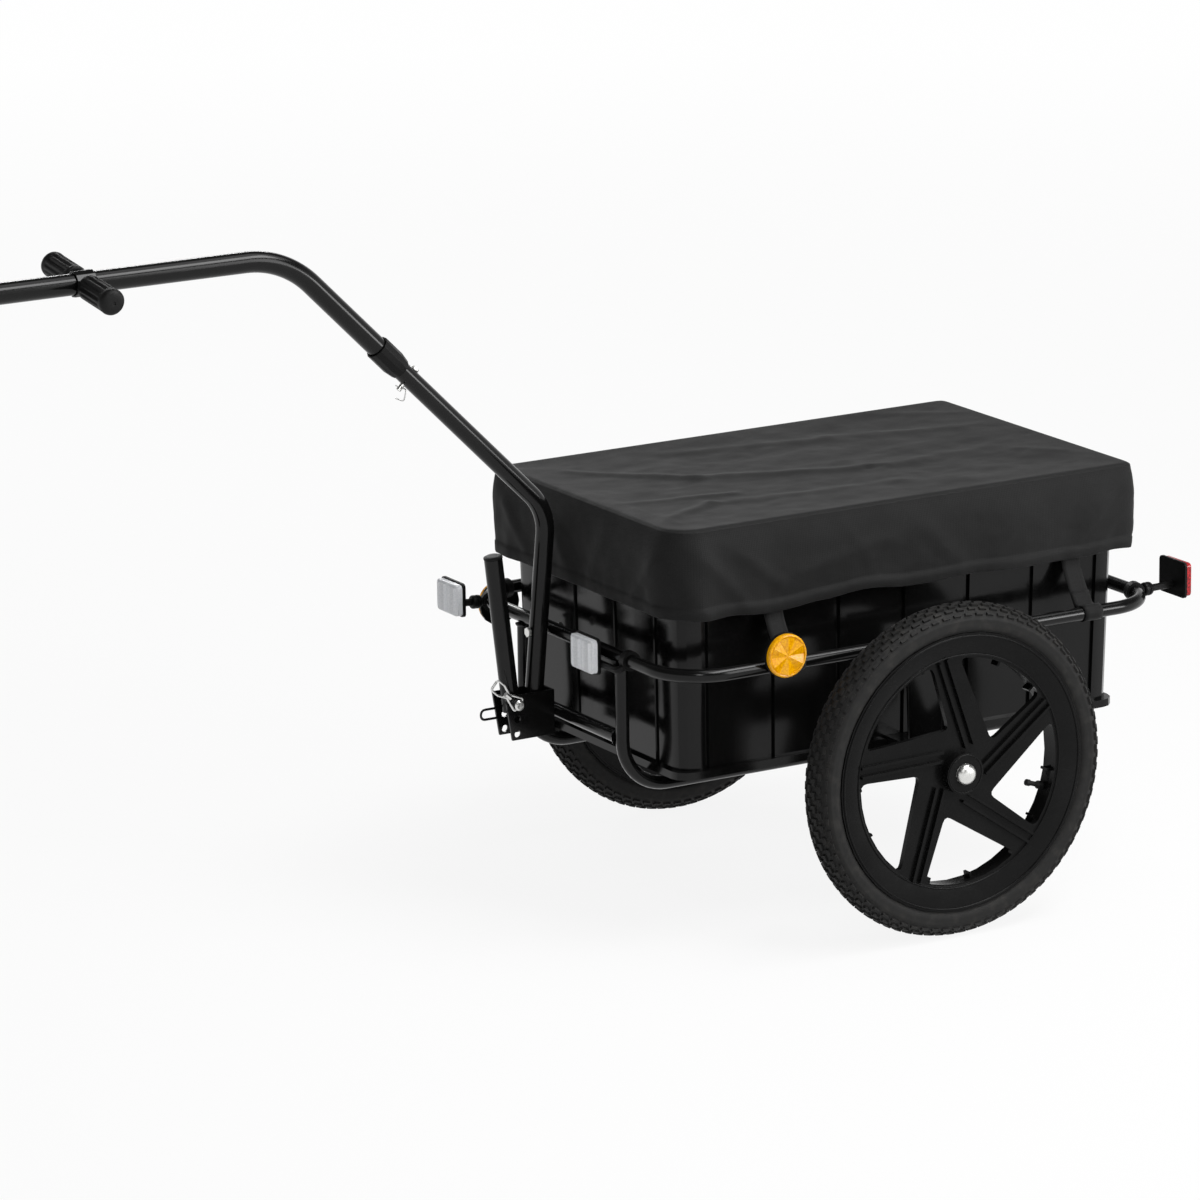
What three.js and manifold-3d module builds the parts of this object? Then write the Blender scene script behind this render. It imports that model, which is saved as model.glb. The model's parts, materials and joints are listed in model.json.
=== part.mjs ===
// Two-wheeled cargo bicycle trailer with a moulded tub, a fabric cover and a seat-post hitch.
// Millimetres and degrees. X runs rearward, Y to the trailer's right-hand side, Z up.
// The model is drawn about the ground point below the axle, then shifted to the middle of its box.

import * as THREE from 'three';
import { mergeVertices } from 'three/addons/utils/BufferGeometryUtils.js';
import Module from 'manifold-3d';

const wasm = await Module();
wasm.setup();

// Driving dimensions

const GAP = 0.3;                      // between pieces that touch
const OVERRUN = 2;                    // how far a cutting tool passes a face
const LEFT = -1;
const RIGHT = 1;
const TURN = 2 * Math.PI;

const TUB_CENTRE_X = 9.5;
const TUB_HALF_LENGTH = 307;
const TUB_HALF_WIDTH = 191;
const TUB_TOP = 494.5;
const TUB_WALL = 3;
const TUB_CORNER = 22;
const TUB_DRAFT = 7;                  // a wall's lean from rim to foot
const TUB_RIM_WIDTH = 9.5;
const TUB_RIM_HEIGHT = 5;
const TUB_RIM_LIP = 14;
const GROOVE_WIDTH = 9;
const GROOVE_DEPTH = 4;
const GROOVE_SLOPE = 1.5;
const SIDE_GROOVE_COUNT = 7;
const END_GROOVE_COUNT = 4;
const SIDE_GROOVE_PITCH_SHARE = 0.2965;  // of the tub's half length
const END_GROOVE_PITCH_SHARE = 0.4765;   // of the tub's half width
const FOOT_LIFT = 14;                 // from the cradles' top to the tub's foot
const FOOT_HEIGHT = 9;
const FOOT_FLARE = 6;
const TUB_FLOOR = 3.2;

const LOOP_TUBE_RADIUS = 8;
const LOOP_HEIGHT = 335;
const LOOP_FRONT_ROOM = 28.5;         // from the tub's walls to the loop's centre line
const LOOP_REAR_ROOM = 25.5;
const LOOP_SIDE_ROOM = 49;
const LOOP_FRONT = TUB_CENTRE_X - TUB_HALF_LENGTH - LOOP_FRONT_ROOM;
const LOOP_REAR = TUB_CENTRE_X + TUB_HALF_LENGTH + LOOP_REAR_ROOM;
const LOOP_HALF_WIDTH = TUB_HALF_WIDTH + LOOP_SIDE_ROOM;
const LOOP_CORNER = 65;

const CRADLE_SPACING_SHARE = 0.5865;  // of the tub's half width
const CRADLE_HALF_SPACING = TUB_HALF_WIDTH * CRADLE_SPACING_SHARE;
const CRADLE_BEND = 58;
const CROSSBAR_HEIGHT = 238;

const WHEEL_RADIUS = 198;
const TYRE_HALF_WIDTH = 22.2;
const WHEEL_ROOM = 69;                // from the loop's centre line to the wheel's middle
const TRACK_HALF = LOOP_HALF_WIDTH + WHEEL_ROOM;
const RIM_SEAT_RADIUS = 158;
const RIM_FLANGE_RADIUS = 166;
const RIM_INNER_RADIUS = 137;
const RIM_HALF_WIDTH = 19.7;
const WHEEL_SEGMENTS = 40;

const HUB_RADIUS = 25;
const HUB_HALF_LENGTH = 26;
const HUB_BORE = 13;
const SPOKE_COUNT = 5;
const SPOKE_PHASE = 100;              // degrees, rim end of the first spoke
const SPOKE_OFFSET = 22;              // a spoke's ridge is tangent to this circle
const WEB_THICKNESS = 7;
const WEB_SETBACK = 7;                // from the rim's outer edge to the web's outer face
const RIDGE_WIDTH = 3.2;
const RIDGE_SPACING = 11;
const RIDGE_HEIGHT = 4.5;
const EDGE_RIM_LEAD = 14;             // from ridge to window edge, on the leading side
const EDGE_HUB_LEAD = 21;
const EDGE_RIM_TRAIL = 23;
const EDGE_HUB_TRAIL = 31;
const WINDOW_FILLET = 9;
const WINDOW_INSET = 2;
const GUSSET_THICKNESS = 3;
const GUSSET_REACH = 8;               // inward from the rim
const GUSSET_ROOT = 4;                // into the rim
const HUB_FLANGE_RADIUS = 40;
const VALVE_LENGTH = 24;
const VALVE_RADIUS = 5;
const VALVE_ANGLE = -18;              // degrees from level, toward the rear

const AXLE_RADIUS = 6;
const AXLE_BEAM_SIZE = 25;
const AXLE_BEAM_WALL = 2.5;
const AXLE_TAIL = 22;                 // from the loop's outer edge inward
const AXLE_COLLAR_RADIUS = 11;
const CARRIER_THICKNESS = 4;
const CARRIER_FOOT_RADIUS = 22;
const CARRIER_HEAD_HALF_WIDTH = 26;
const NUT_RADIUS = 11.5;
const NUT_LENGTH = 9;
const BEARING_WIDTH = 9;

const COVER_THICKNESS = 1.6;
const COVER_TOP_EDGE = 2;             // bevel of the fold over the rim
const COVER_HEM_HEIGHT = 393;
const COVER_SAG = 5;
const COVER_FLARE = 3;
const COVER_FOLD_DEPTH = 6;
const COVER_HEM_WAVE = 5;

const DRAWBAR_OFFSET = 45;            // the drawbar stands to the right of the centre line
const DRAWBAR_LEAN = 5.25;            // degrees, of the upright run
const DRAWBAR_SLOPE = 45;
const DRAWBAR_HEIGHT = 816.5;
const DRAWBAR_LOWER_RADIUS = 11;
const DRAWBAR_LOWER_WALL = 1.7;
const DRAWBAR_UPPER_RADIUS = 12.3;
const DRAWBAR_SPIGOT_RADIUS = 9;
const DRAWBAR_SPIGOT_LENGTH = 60;
const DRAWBAR_UPPER_BORE = 7;
const DRAWBAR_LOWER_BEND = 62;
const DRAWBAR_UPPER_BEND = 118;
const DRAWBAR_KNEE_HEIGHT = 478.8;    // where the upright and sloping centre lines meet
const DRAWBAR_SPLIT_SHARE = 0.6;       // of the slope, from the lower to the upper knee
const DRAWBAR_FOOT_HEIGHT = 224;
const DRAWBAR_LEVEL_RUN = 425;        // from the upper knee to the front end

const LOOP_BOLT_RADIUS = 3;
const BOLT_HEAD_HEIGHT = 4;
const SPLIT_PIN_RADIUS = 3;
const SPLIT_PIN_SETBACK = 15;         // from the collar's lower end
const PIN_HEAD_RADIUS = 5.5;
const PIN_HEAD_HEIGHT = 4;
const PIN_TAIL = 8;
const CLIP_WIRE = 0.9;
const CLIP_LEG = 22;
const CLIP_HALF_WIDTH = 4;

const COLLAR_RADIUS = 15;
const COLLAR_WALL = 1.2;
const COLLAR_LENGTH = 42;
const COLLAR_TAPER = 13;

const BRACKET_LENGTH = 66;
const BRACKET_TOP = 266;
const BRACKET_BOTTOM = 212;
const BRACKET_PLATE = 3;
const BRACKET_HALF_GAP = 13.5;
const BRACKET_RAKE = 9;               // how far the front edge slants back at its foot
const PIN_RADIUS = 4;
const PIN_HEIGHT = 255;
const PIN_SETBACK = 16;               // from the bracket's upper front corner
const PIN_CLEARANCE = 0.3;
const HOLE_PITCH = 18;
const SPARE_HOLE_COUNT = 2;
const EYE_WIRE = 1.6;
const EYE_REACH = 15;
const EYE_HEIGHT = 12;
const LOCK_HEAD_RADIUS = 6.5;
const LOCK_HEAD_LENGTH = 7;
const LOCK_TIP = 9;
const BAIL_WIRE = 1.5;
const BAIL_HALF_WIDTH = 7;
const BAIL_LENGTH = 44;
const BAIL_ANGLE = 42;                // degrees above level, toward the front
const SLEEVE_RADIUS = 3;

const LEG_RADIUS = 11;
const LEG_WALL = 1.6;
const LEG_LENGTH = 176;
const LEG_TAIL = 11;                  // from the hinge pin to the open end
const LEG_LEAN = 6.6;                 // degrees forward of upright, folded
const CAP_PLUG = 14;
const CAP_HEIGHT = 4;

const HANDLE_SETBACK = 252;           // from the upper knee to the cross handle
const HANDLE_TILT = 7;                // degrees, its far end higher
const HANDLE_BAR_RADIUS = 10.5;
const GRIP_RADIUS = 14.6;
const GRIP_LENGTH = 62;
const HANDLE_HALF_LENGTH = 78;
const GRIP_FLUTES = 12;
const GRIP_FLUTE_DEPTH = 1;
const GRIP_END = 5;                   // from the bar's end to the grip's
const GRIP_DOME = 7;
const HANDLE_SLEEVE_RADIUS = 15;
const HANDLE_SLEEVE_HALF = 12;

const POST_RADIUS = 15.6;             // seat post that the clamp closes on
const CLAMP_WALL = 7;
const CLAMP_HEIGHT = 46;
const CLAMP_SPLIT = 3;
const EAR_WIDTH = 16;
const EAR_THICKNESS = 8;
const CLAMP_BOLT_RADIUS = 3;
const KNUCKLE_WIDTH = 26;
const KNUCKLE_HEIGHT = 26;
const TONGUE_WIDTH = 12;
const HITCH_PIN_RADIUS = 4;
const TONGUE_PLUG_LENGTH = 30;
const TONGUE_PLUG_RADIUS = 10;
const TONGUE_FLANGE = 4;
const LUG_THICKNESS = 7;
const PITCH_TO_YAW = 34;
const YAW_TO_POST = 48;

const LENS_WIDTH = 50;
const LENS_HEIGHT = 38;
const LENS_THICKNESS = 7;
const LENS_CORNER = 5;
const HOLDER_THICKNESS = 3;
const HOLDER_MARGIN = 1.5;
const STEM_RADIUS = 4.5;
const STEM_DROP = 9;                  // from a lens's middle down to its stem
const CLIP_WALL = 3.5;
const CLIP_WIDTH = 10;
const ROUND_LENS_RADIUS = 25.5;
const ROUND_LENS_REACH = 10.2;        // from tube centre to holder back
const AMBER_LEFT_LEAD = 18;           // from the front strap's middle forward to the lens's
const AMBER_LEFT_RISE = 15;
const AMBER_RIGHT_HEADING = 106;
const AMBER_RIGHT_SETBACK = 47;       // from the loop's front to the lens's middle
const AMBER_RIGHT_DROP = 21;
const WHITE_LEFT_STEM_LENGTH = 61.5;
const WHITE_LEFT_CLIP_ROOM = 17;      // from the cradle's centre line to the clip's
const WHITE_LEFT_CLIP_Y = -CRADLE_HALF_SPACING - WHITE_LEFT_CLIP_ROOM;
const WHITE_LEFT_Y = WHITE_LEFT_CLIP_Y + WHITE_LEFT_STEM_LENGTH;
const WHITE_LEFT_DROP = 1.5;          // from the loop's centre line to the lens's middle
const WHITE_LEFT_TALL = 40;
const WHITE_LEFT_STEM_REACH = 14;     // from the loop's centre line forward to the stem
const STEM_BEND = 7;
const WHITE_RIGHT_HEADING = 160;
const WHITE_RIGHT_REACH = 43;         // from the loop's front to the holder's back
const WHITE_RIGHT_INSET = 40;         // from the loop's side to the lens's middle
const WHITE_RIGHT_RISE = 11;          // above the loop's centre line
const RED_HEADING = -11;
const RED_REACH = 61;                 // from the loop's rear to the holder's back
const RED_INSET = 62;
const RED_RISE = 7;
const RED_TALL = 41;

const STRAP_WIDTH = 25;
const STRAP_THICKNESS = 1.4;
const STRAP_TOP = 424;
const STRAP_HEM_MARGIN = 10;          // the strap's kink lies this far below the hem
const STRAP_PLACE_SHARES = { front: -0.601, rear: 0.7508 };  // of the tub's half length

// Sides of round sections and steps of bends

const FRAME_SIDES = 8;
const FRAME_BEND_STEPS = 6;
const BORE_SIDES = 8;
const AXLE_SIDES = 12;
const HUB_SIDES = 20;
const CARRIER_STEPS = 8;
const WINDOW_ARC_STEPS = 6;
const TUB_CORNER_STEPS = 3;
const STRAP_SIDES = 12;
const DRAWBAR_SIDES = 12;
const DRAWBAR_BEND_STEPS = 6;
const PIN_SIDES = 12;
const HEX = 6;
const WIRE_SIDES = 6;
const WIRE_BEND_STEPS = 4;
const BAIL_BEND_STEPS = 2;
const LEG_SIDES = 14;
const HANDLE_SIDES = 12;
const HITCH_SIDES = 16;
const EYE_STEPS = 8;
const REFLECTOR_STEPS = 3;
const CLIP_SIDES = 16;

// Derived levels and places

const AXLE_HEIGHT = WHEEL_RADIUS;
const BEAM_BOTTOM = AXLE_HEIGHT - AXLE_BEAM_SIZE / 2;
const CRADLE_HEIGHT = BEAM_BOTTOM - GAP - LOOP_TUBE_RADIUS;
const CRADLE_TOP = CRADLE_HEIGHT + LOOP_TUBE_RADIUS;
const TUB_BOTTOM = CRADLE_TOP + FOOT_LIFT;
const FLOOR_BOTTOM = AXLE_HEIGHT + AXLE_BEAM_SIZE / 2 + GAP;
const LOOP_UNDERSIDE = LOOP_HEIGHT - LOOP_TUBE_RADIUS;
const LOOP_SIDE = LOOP_HALF_WIDTH + LOOP_TUBE_RADIUS;

// A place along the tub, by its share of the half length from the middle.
const alongTub = share => TUB_CENTRE_X + TUB_HALF_LENGTH * share;

const radians = degrees => THREE.MathUtils.degToRad(degrees);
const point = (x, y, z) => new THREE.Vector3(x, y, z);
const flat = (x, y) => new THREE.Vector2(x, y);

// Materials

const finish = (color, roughness, metalness) =>
  new THREE.MeshStandardMaterial({ color, roughness, metalness });

const MATERIALS = {
  paint: finish(0x101112, 0.28, 0.4),
  plainSteel: finish(0xb9bcc0, 0.3, 1),
  wire: finish(0xa9acb0, 0.35, 1),
  tub: finish(0x0d0e0f, 0.22, 0),
  rim: finish(0x121314, 0.45, 0),
  plastic: finish(0x141515, 0.5, 0),
  rubber: finish(0x1a1918, 0.9, 0),
  grip: finish(0x151516, 0.8, 0),
  cloth: finish(0x26272a, 0.95, 0),
  webbing: finish(0x17181a, 0.9, 0),
  amber: finish(0xf08a10, 0.25, 0),
  clear: finish(0xdfe3e4, 0.2, 0),
  red: finish(0xc4161c, 0.25, 0),
};

// Closed solids and the joins and cuts between them

function solidOf(geometry) {
  const bare = geometry.clone();
  bare.deleteAttribute('normal');
  bare.deleteAttribute('uv');
  const merged = mergeVertices(bare);
  return new wasm.Manifold(new wasm.Mesh({
    numProp: 3,
    vertProperties: new Float32Array(merged.attributes.position.array),
    triVerts: new Uint32Array(merged.index.array),
  }));
}

function geometryOf(solid) {
  const mesh = solid.getMesh();
  const geometry = new THREE.BufferGeometry();
  geometry.setAttribute('position', new THREE.BufferAttribute(mesh.vertProperties, mesh.numProp));
  geometry.setIndex(new THREE.BufferAttribute(mesh.triVerts, 1));
  geometry.computeVertexNormals();
  return geometry;
}

const joined = (...pieces) =>
  geometryOf(pieces.map(solidOf).reduce((whole, piece) => whole.add(piece)));

const cut = (body, ...tools) =>
  geometryOf(tools.map(solidOf).reduce((left, tool) => left.subtract(tool), solidOf(body)));

// Basic forms

const box = (length, width, height, x, y, z) =>
  new THREE.BoxGeometry(length, width, height).translate(x, y, z);

function rod(radius, length, sides) {
  return new THREE.CylinderGeometry(radius, radius, length, sides);
}

// A turned piece about Y from [radius, along] pairs that start and end on the axis or close.
function turned(profile, sides) {
  const points = profile.map(([radius, along]) => flat(radius, along));
  return new THREE.LatheGeometry(points, sides);
}

// Profile points from pairs that are shares of a radius and of a length.
const scaled = (shares, radius, length, from = 0) => shares.map(([radiusShare, lengthShare]) =>
  [radius * radiusShare, from + length * lengthShare]);

// A ring or bush about Y: outer and inner radius between two stations.
const ring = (outer, inner, from, to, sides) =>
  turned([[inner, from], [outer, from], [outer, to], [inner, to], [inner, from]], sides);

function roundOutline(radius, sides) {
  return Array.from({ length: sides }, (unused, i) =>
    flat(radius * Math.cos(TURN * i / sides), radius * Math.sin(TURN * i / sides)));
}

function roundedBox(halfX, halfY, corner, steps) {
  const centres = [[1, -1, -0.25], [1, 1, 0], [-1, 1, 0.25], [-1, -1, 0.5]];
  return centres.flatMap(([sx, sy, turnShare]) =>
    Array.from({ length: steps + 1 }, (unused, i) => {
      const angle = TURN * (turnShare + i / steps / 4);
      return flat(sx * (halfX - corner) + corner * Math.cos(angle),
        sy * (halfY - corner) + corner * Math.sin(angle));
    }));
}

const prism = (outline, height, from) =>
  new THREE.ExtrudeGeometry(new THREE.Shape(outline), { depth: height, bevelEnabled: false })
    .translate(0, 0, from);

// A flat outline raised along Z from a level, with holes cut right through.
function raised(outline, height, from, holes = []) {
  const body = prism(outline, height, from);
  if (holes.length === 0) return body;
  return cut(body, ...holes.map(hole =>
    prism(hole, height + 2 * OVERRUN, from - OVERRUN)));
}

// An outline drawn in X and Z, raised along Y.
function acrossY(outline, width, from, holes = []) {
  const swap = points => points.map(p => flat(p.x, -p.y));
  return raised(swap(outline), width, 0, holes.map(swap))
    .rotateX(-TURN / 4).translate(0, from, 0);
}

const TURNED_TO_X = new THREE.Matrix4()
  .makeBasis(point(0, 1, 0), point(0, 0, 1), point(1, 0, 0));

// An outline drawn in Y and Z, raised along X.
const acrossX = (outline, length, from) => prism(outline, length, from)
  .applyMatrix4(TURNED_TO_X);

// Tubes bent from straight runs and round bends

class BentRoute extends THREE.Curve {
  constructor(corners, bendRadius, bendSteps) {
    super();
    this.stations = [];
    corners.forEach((corner, i) => {
      const before = i > 0 ? corner.clone().sub(corners[i - 1]).normalize() : null;
      const after = i < corners.length - 1
        ? corners[i + 1].clone().sub(corner).normalize() : null;
      if (!before || !after) {
        this.stations.push({ at: corner.clone(), along: before ?? after });
      } else {
        this.addBend(corner, before, after, bendRadius, bendSteps);
      }
    });
  }

  addBend(corner, before, after, radius, steps) {
    const turn = before.angleTo(after);
    const axis = before.clone().cross(after).normalize();
    const start = corner.clone().addScaledVector(before, -radius * Math.tan(turn / 2));
    const centre = start.clone().addScaledVector(axis.clone().cross(before), radius);
    for (let i = 0; i <= steps; i++) {
      const angle = turn * i / steps;
      const spoke = start.clone().sub(centre).applyAxisAngle(axis, angle);
      this.stations.push({
        at: centre.clone().add(spoke),
        along: before.clone().applyAxisAngle(axis, angle),
      });
    }
  }

  get steps() { return this.stations.length - 1; }
  station(share) { return this.stations[Math.round(share * this.steps)]; }
  getPointAt(share) { return this.station(share).at.clone(); }
  getTangentAt(share) { return this.station(share).along.clone(); }
}

// Corner radius of a regular polygon whose flats touch a circle.
const aroundRound = (radius, sides) => radius / Math.cos(Math.PI / sides);

function tube(route, radius, sides, bore = 0) {
  const section = new THREE.Shape(roundOutline(radius, sides));
  if (bore > 0) section.holes.push(new THREE.Path(
    roundOutline(aroundRound(bore, BORE_SIDES), BORE_SIDES)));
  return new THREE.ExtrudeGeometry(section, { steps: route.steps, extrudePath: route });
}

const straight = (from, to) => new BentRoute([from, to], 0, 0);

function mirroredAcross(geometry) {
  const flipped = geometry.index ? geometry.toNonIndexed() : geometry.clone();
  flipped.deleteAttribute('normal');
  flipped.deleteAttribute('uv');
  flipped.scale(1, -1, 1);
  const places = flipped.attributes.position;
  for (let i = 0; i < places.count; i += 3) {
    const second = point().fromBufferAttribute(places, i + 1);
    const third = point().fromBufferAttribute(places, i + 2);
    places.setXYZ(i + 1, third.x, third.y, third.z);
    places.setXYZ(i + 2, second.x, second.y, second.z);
  }
  flipped.computeVertexNormals();
  return flipped;
}

const onSide = (geometry, side) => (side === LEFT ? geometry : mirroredAcross(geometry));

// Scene graph

const trailer = new THREE.Group();
const assembly = new THREE.Group();
trailer.add(assembly);

function place(name, geometry, material, parent = assembly) {
  const mesh = new THREE.Mesh(geometry, material);
  mesh.name = name;
  parent.add(mesh);
  return mesh;
}

// Frame: tub loop, two cradle hoops, crossbar, axle beam and wheel carriers

function loopHalf(radius) {
  const corners = [
    point(LOOP_REAR, 0, LOOP_HEIGHT),
    point(LOOP_REAR, -LOOP_HALF_WIDTH, LOOP_HEIGHT),
    point(LOOP_FRONT, -LOOP_HALF_WIDTH, LOOP_HEIGHT),
    point(LOOP_FRONT, 0, LOOP_HEIGHT),
  ];
  return tube(new BentRoute(corners, LOOP_CORNER, FRAME_BEND_STEPS),
    radius, FRAME_SIDES);
}

function frameLoop() {
  const half = loopHalf(LOOP_TUBE_RADIUS);
  const boltHole = rod(LOOP_BOLT_RADIUS + PIN_CLEARANCE,
    2 * (LOOP_TUBE_RADIUS + OVERRUN), FRAME_SIDES)
    .rotateZ(TURN / 4).translate(LOOP_FRONT, DRAWBAR_OFFSET, LOOP_HEIGHT);
  return cut(joined(half, mirroredAcross(half)), boltHole);
}

function cradle(side) {
  const y = side * CRADLE_HALF_SPACING;
  const top = LOOP_UNDERSIDE - GAP;
  const corners = [
    point(LOOP_FRONT, y, top),
    point(LOOP_FRONT, y, CRADLE_HEIGHT),
    point(LOOP_REAR, y, CRADLE_HEIGHT),
    point(LOOP_REAR, y, top),
  ];
  return tube(new BentRoute(corners, CRADLE_BEND, FRAME_BEND_STEPS), LOOP_TUBE_RADIUS,
    FRAME_SIDES);
}

function frontCrossbar() {
  const reach = CRADLE_HALF_SPACING - LOOP_TUBE_RADIUS - GAP;
  return tube(straight(point(LOOP_FRONT, -reach, CROSSBAR_HEIGHT),
    point(LOOP_FRONT, reach, CROSSBAR_HEIGHT)), LOOP_TUBE_RADIUS, FRAME_SIDES);
}

function squareOutline(size) {
  const half = size / 2;
  return [flat(-half, -half), flat(half, -half), flat(half, half), flat(-half, half)];
}

function axleBeam() {
  const length = 2 * LOOP_SIDE;
  return acrossY(squareOutline(AXLE_BEAM_SIZE), length, -length / 2,
    [squareOutline(AXLE_BEAM_SIZE - 2 * AXLE_BEAM_WALL)]).translate(0, 0, AXLE_HEIGHT);
}

// A plate that hangs from the loop's side tube and holds the stub axle.
function carrier(side) {
  const foot = Array.from({ length: CARRIER_STEPS + 1 }, (unused, i) => {
    const angle = TURN / 2 * (1 + i / CARRIER_STEPS);
    return flat(CARRIER_FOOT_RADIUS * Math.cos(angle),
      AXLE_HEIGHT + CARRIER_FOOT_RADIUS * Math.sin(angle));
  });
  const head = LOOP_HEIGHT + LOOP_TUBE_RADIUS;
  const outline = [...foot, flat(CARRIER_HEAD_HALF_WIDTH, LOOP_UNDERSIDE),
    flat(CARRIER_HEAD_HALF_WIDTH, head), flat(-CARRIER_HEAD_HALF_WIDTH, head),
    flat(-CARRIER_HEAD_HALF_WIDTH, LOOP_UNDERSIDE)];
  const bore = roundOutline(AXLE_RADIUS + GAP, CARRIER_STEPS * 2)
    .map(p => flat(p.x, p.y + AXLE_HEIGHT));
  const inner = LOOP_SIDE + GAP;
  const from = side === LEFT ? -inner - CARRIER_THICKNESS : inner;
  return acrossY(outline, CARRIER_THICKNESS, from, [bore]);
}

// Stub axles, bearings and dome nuts, turned about Y with the outer end at positive Y

const outwardFrom = (geometry, side) =>
  (side === RIGHT ? geometry : geometry.rotateZ(TURN / 2)).translate(0, 0, AXLE_HEIGHT);

const CARRIER_OUTER = LOOP_SIDE + GAP + CARRIER_THICKNESS;
const HUB_INNER_END = TRACK_HALF - HUB_HALF_LENGTH;
const HUB_OUTER_END = TRACK_HALF + HUB_HALF_LENGTH;

function stubAxle(side) {
  const profile = [
    [0, LOOP_SIDE - AXLE_TAIL], [AXLE_RADIUS, LOOP_SIDE - AXLE_TAIL],
    [AXLE_RADIUS, CARRIER_OUTER + GAP], [AXLE_COLLAR_RADIUS, CARRIER_OUTER + GAP],
    [AXLE_COLLAR_RADIUS, HUB_INNER_END - GAP], [AXLE_RADIUS, HUB_INNER_END - GAP],
    [AXLE_RADIUS, HUB_OUTER_END], [0, HUB_OUTER_END],
  ];
  return outwardFrom(turned(profile, AXLE_SIDES), side);
}

const NUT_SHARES = [[0, 0], [1, 0], [1, 0.45], [0.85, 0.75], [0.5, 0.95], [0, 1]];

function domeNut(side) {
  const profile = scaled(NUT_SHARES, NUT_RADIUS, NUT_LENGTH, HUB_OUTER_END + GAP);
  return outwardFrom(turned(profile, AXLE_SIDES), side);
}

function bearing(side, outer) {
  const from = outer ? HUB_HALF_LENGTH - BEARING_WIDTH - GAP : -HUB_HALF_LENGTH + GAP;
  const geometry = ring(HUB_BORE - GAP, AXLE_RADIUS + GAP, from, from + BEARING_WIDTH,
    AXLE_SIDES);
  return outwardFrom(geometry.translate(0, TRACK_HALF, 0), side);
}

// Wheels: a tyre and a five-spoke moulded wheel with swept spokes

// Half sections: shares of the depth above a seat and of the half width.
const TYRE_BEAD_SHARES = [[0.02, 0.68], [0.2, 0.78], [0.27, 0.94]];
const TYRE_BULGE_SHARES = [[0.45, 1], [0.72, 0.88], [0.92, 0.5], [1, 0]];
const RIM_OUTER_SHARES = [[0, 0.66], [0.78, 1], [1, 1]];
const RIM_INNER_SHARES = [[1, 0.89], [0.72, 0.81]];

const raisedFrom = (seat, depth, halfWidth, shares) =>
  shares.map(([riseShare, widthShare]) => [seat + depth * riseShare, halfWidth * widthShare]);

// A closed ring section from its half, mirrored about the middle plane.
function mirroredSection(half) {
  const other = half.filter(([, width]) => width > 0).reverse()
    .map(([radius, width]) => [radius, -width]);
  const section = [...half, ...other].reverse();
  return [...section, section[0]];
}

function tyre(side) {
  const depth = WHEEL_RADIUS - RIM_SEAT_RADIUS;
  const half = raisedFrom(RIM_SEAT_RADIUS, depth, TYRE_HALF_WIDTH,
    [...TYRE_BEAD_SHARES, ...TYRE_BULGE_SHARES]);
  return outwardFrom(turned(mirroredSection(half), WHEEL_SEGMENTS)
    .translate(0, TRACK_HALF, 0), side);
}

function rimRing() {
  const depth = RIM_FLANGE_RADIUS - RIM_INNER_RADIUS;
  const half = raisedFrom(RIM_INNER_RADIUS, depth, RIM_HALF_WIDTH,
    [...RIM_OUTER_SHARES, ...RIM_INNER_SHARES]);
  return turned(mirroredSection(half), WHEEL_SEGMENTS);
}

const SPOKE_SPAN = RIM_INNER_RADIUS;

// The straight edges and ridge of one spoke, in the wheel's plane.
function spokeLines(index) {
  const angle = radians(SPOKE_PHASE) + TURN * index / SPOKE_COUNT;
  const rimEnd = flat(Math.cos(angle), Math.sin(angle)).multiplyScalar(RIM_INNER_RADIUS);
  const sweep = Math.asin(SPOKE_OFFSET / RIM_INNER_RADIUS);
  const inward = rimEnd.clone().normalize().negate().rotateAround(flat(0, 0), sweep);
  const lead = flat(inward.y, -inward.x);
  const at = (along, aside) => rimEnd.clone().addScaledVector(inward, along)
    .addScaledVector(lead, aside);
  return {
    angle: THREE.MathUtils.radToDeg(angle) + THREE.MathUtils.radToDeg(sweep),
    ridge: at(SPOKE_SPAN / 2, 0),
    leadEdge: [at(0, EDGE_RIM_LEAD), at(SPOKE_SPAN, EDGE_HUB_LEAD)],
    trailEdge: [at(0, -EDGE_RIM_TRAIL), at(SPOKE_SPAN, -EDGE_HUB_TRAIL)],
  };
}

function crossing([a, b], [c, d]) {
  const along = b.clone().sub(a);
  const other = d.clone().sub(c);
  const share = c.clone().sub(a).cross(other) / along.cross(other);
  return a.clone().addScaledVector(along, share);
}

// Where an edge line meets the circle that bounds the windows.
function rimCrossing([a, b], radius) {
  const along = b.clone().sub(a).normalize();
  const middle = a.dot(along);
  const nearest = a.clone().addScaledVector(along, -middle);
  const half = Math.sqrt(radius * radius - nearest.lengthSq());
  return nearest.addScaledVector(along, -half);
}

const FILLET_SHARES = [1 / 3, 2 / 3];

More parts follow.
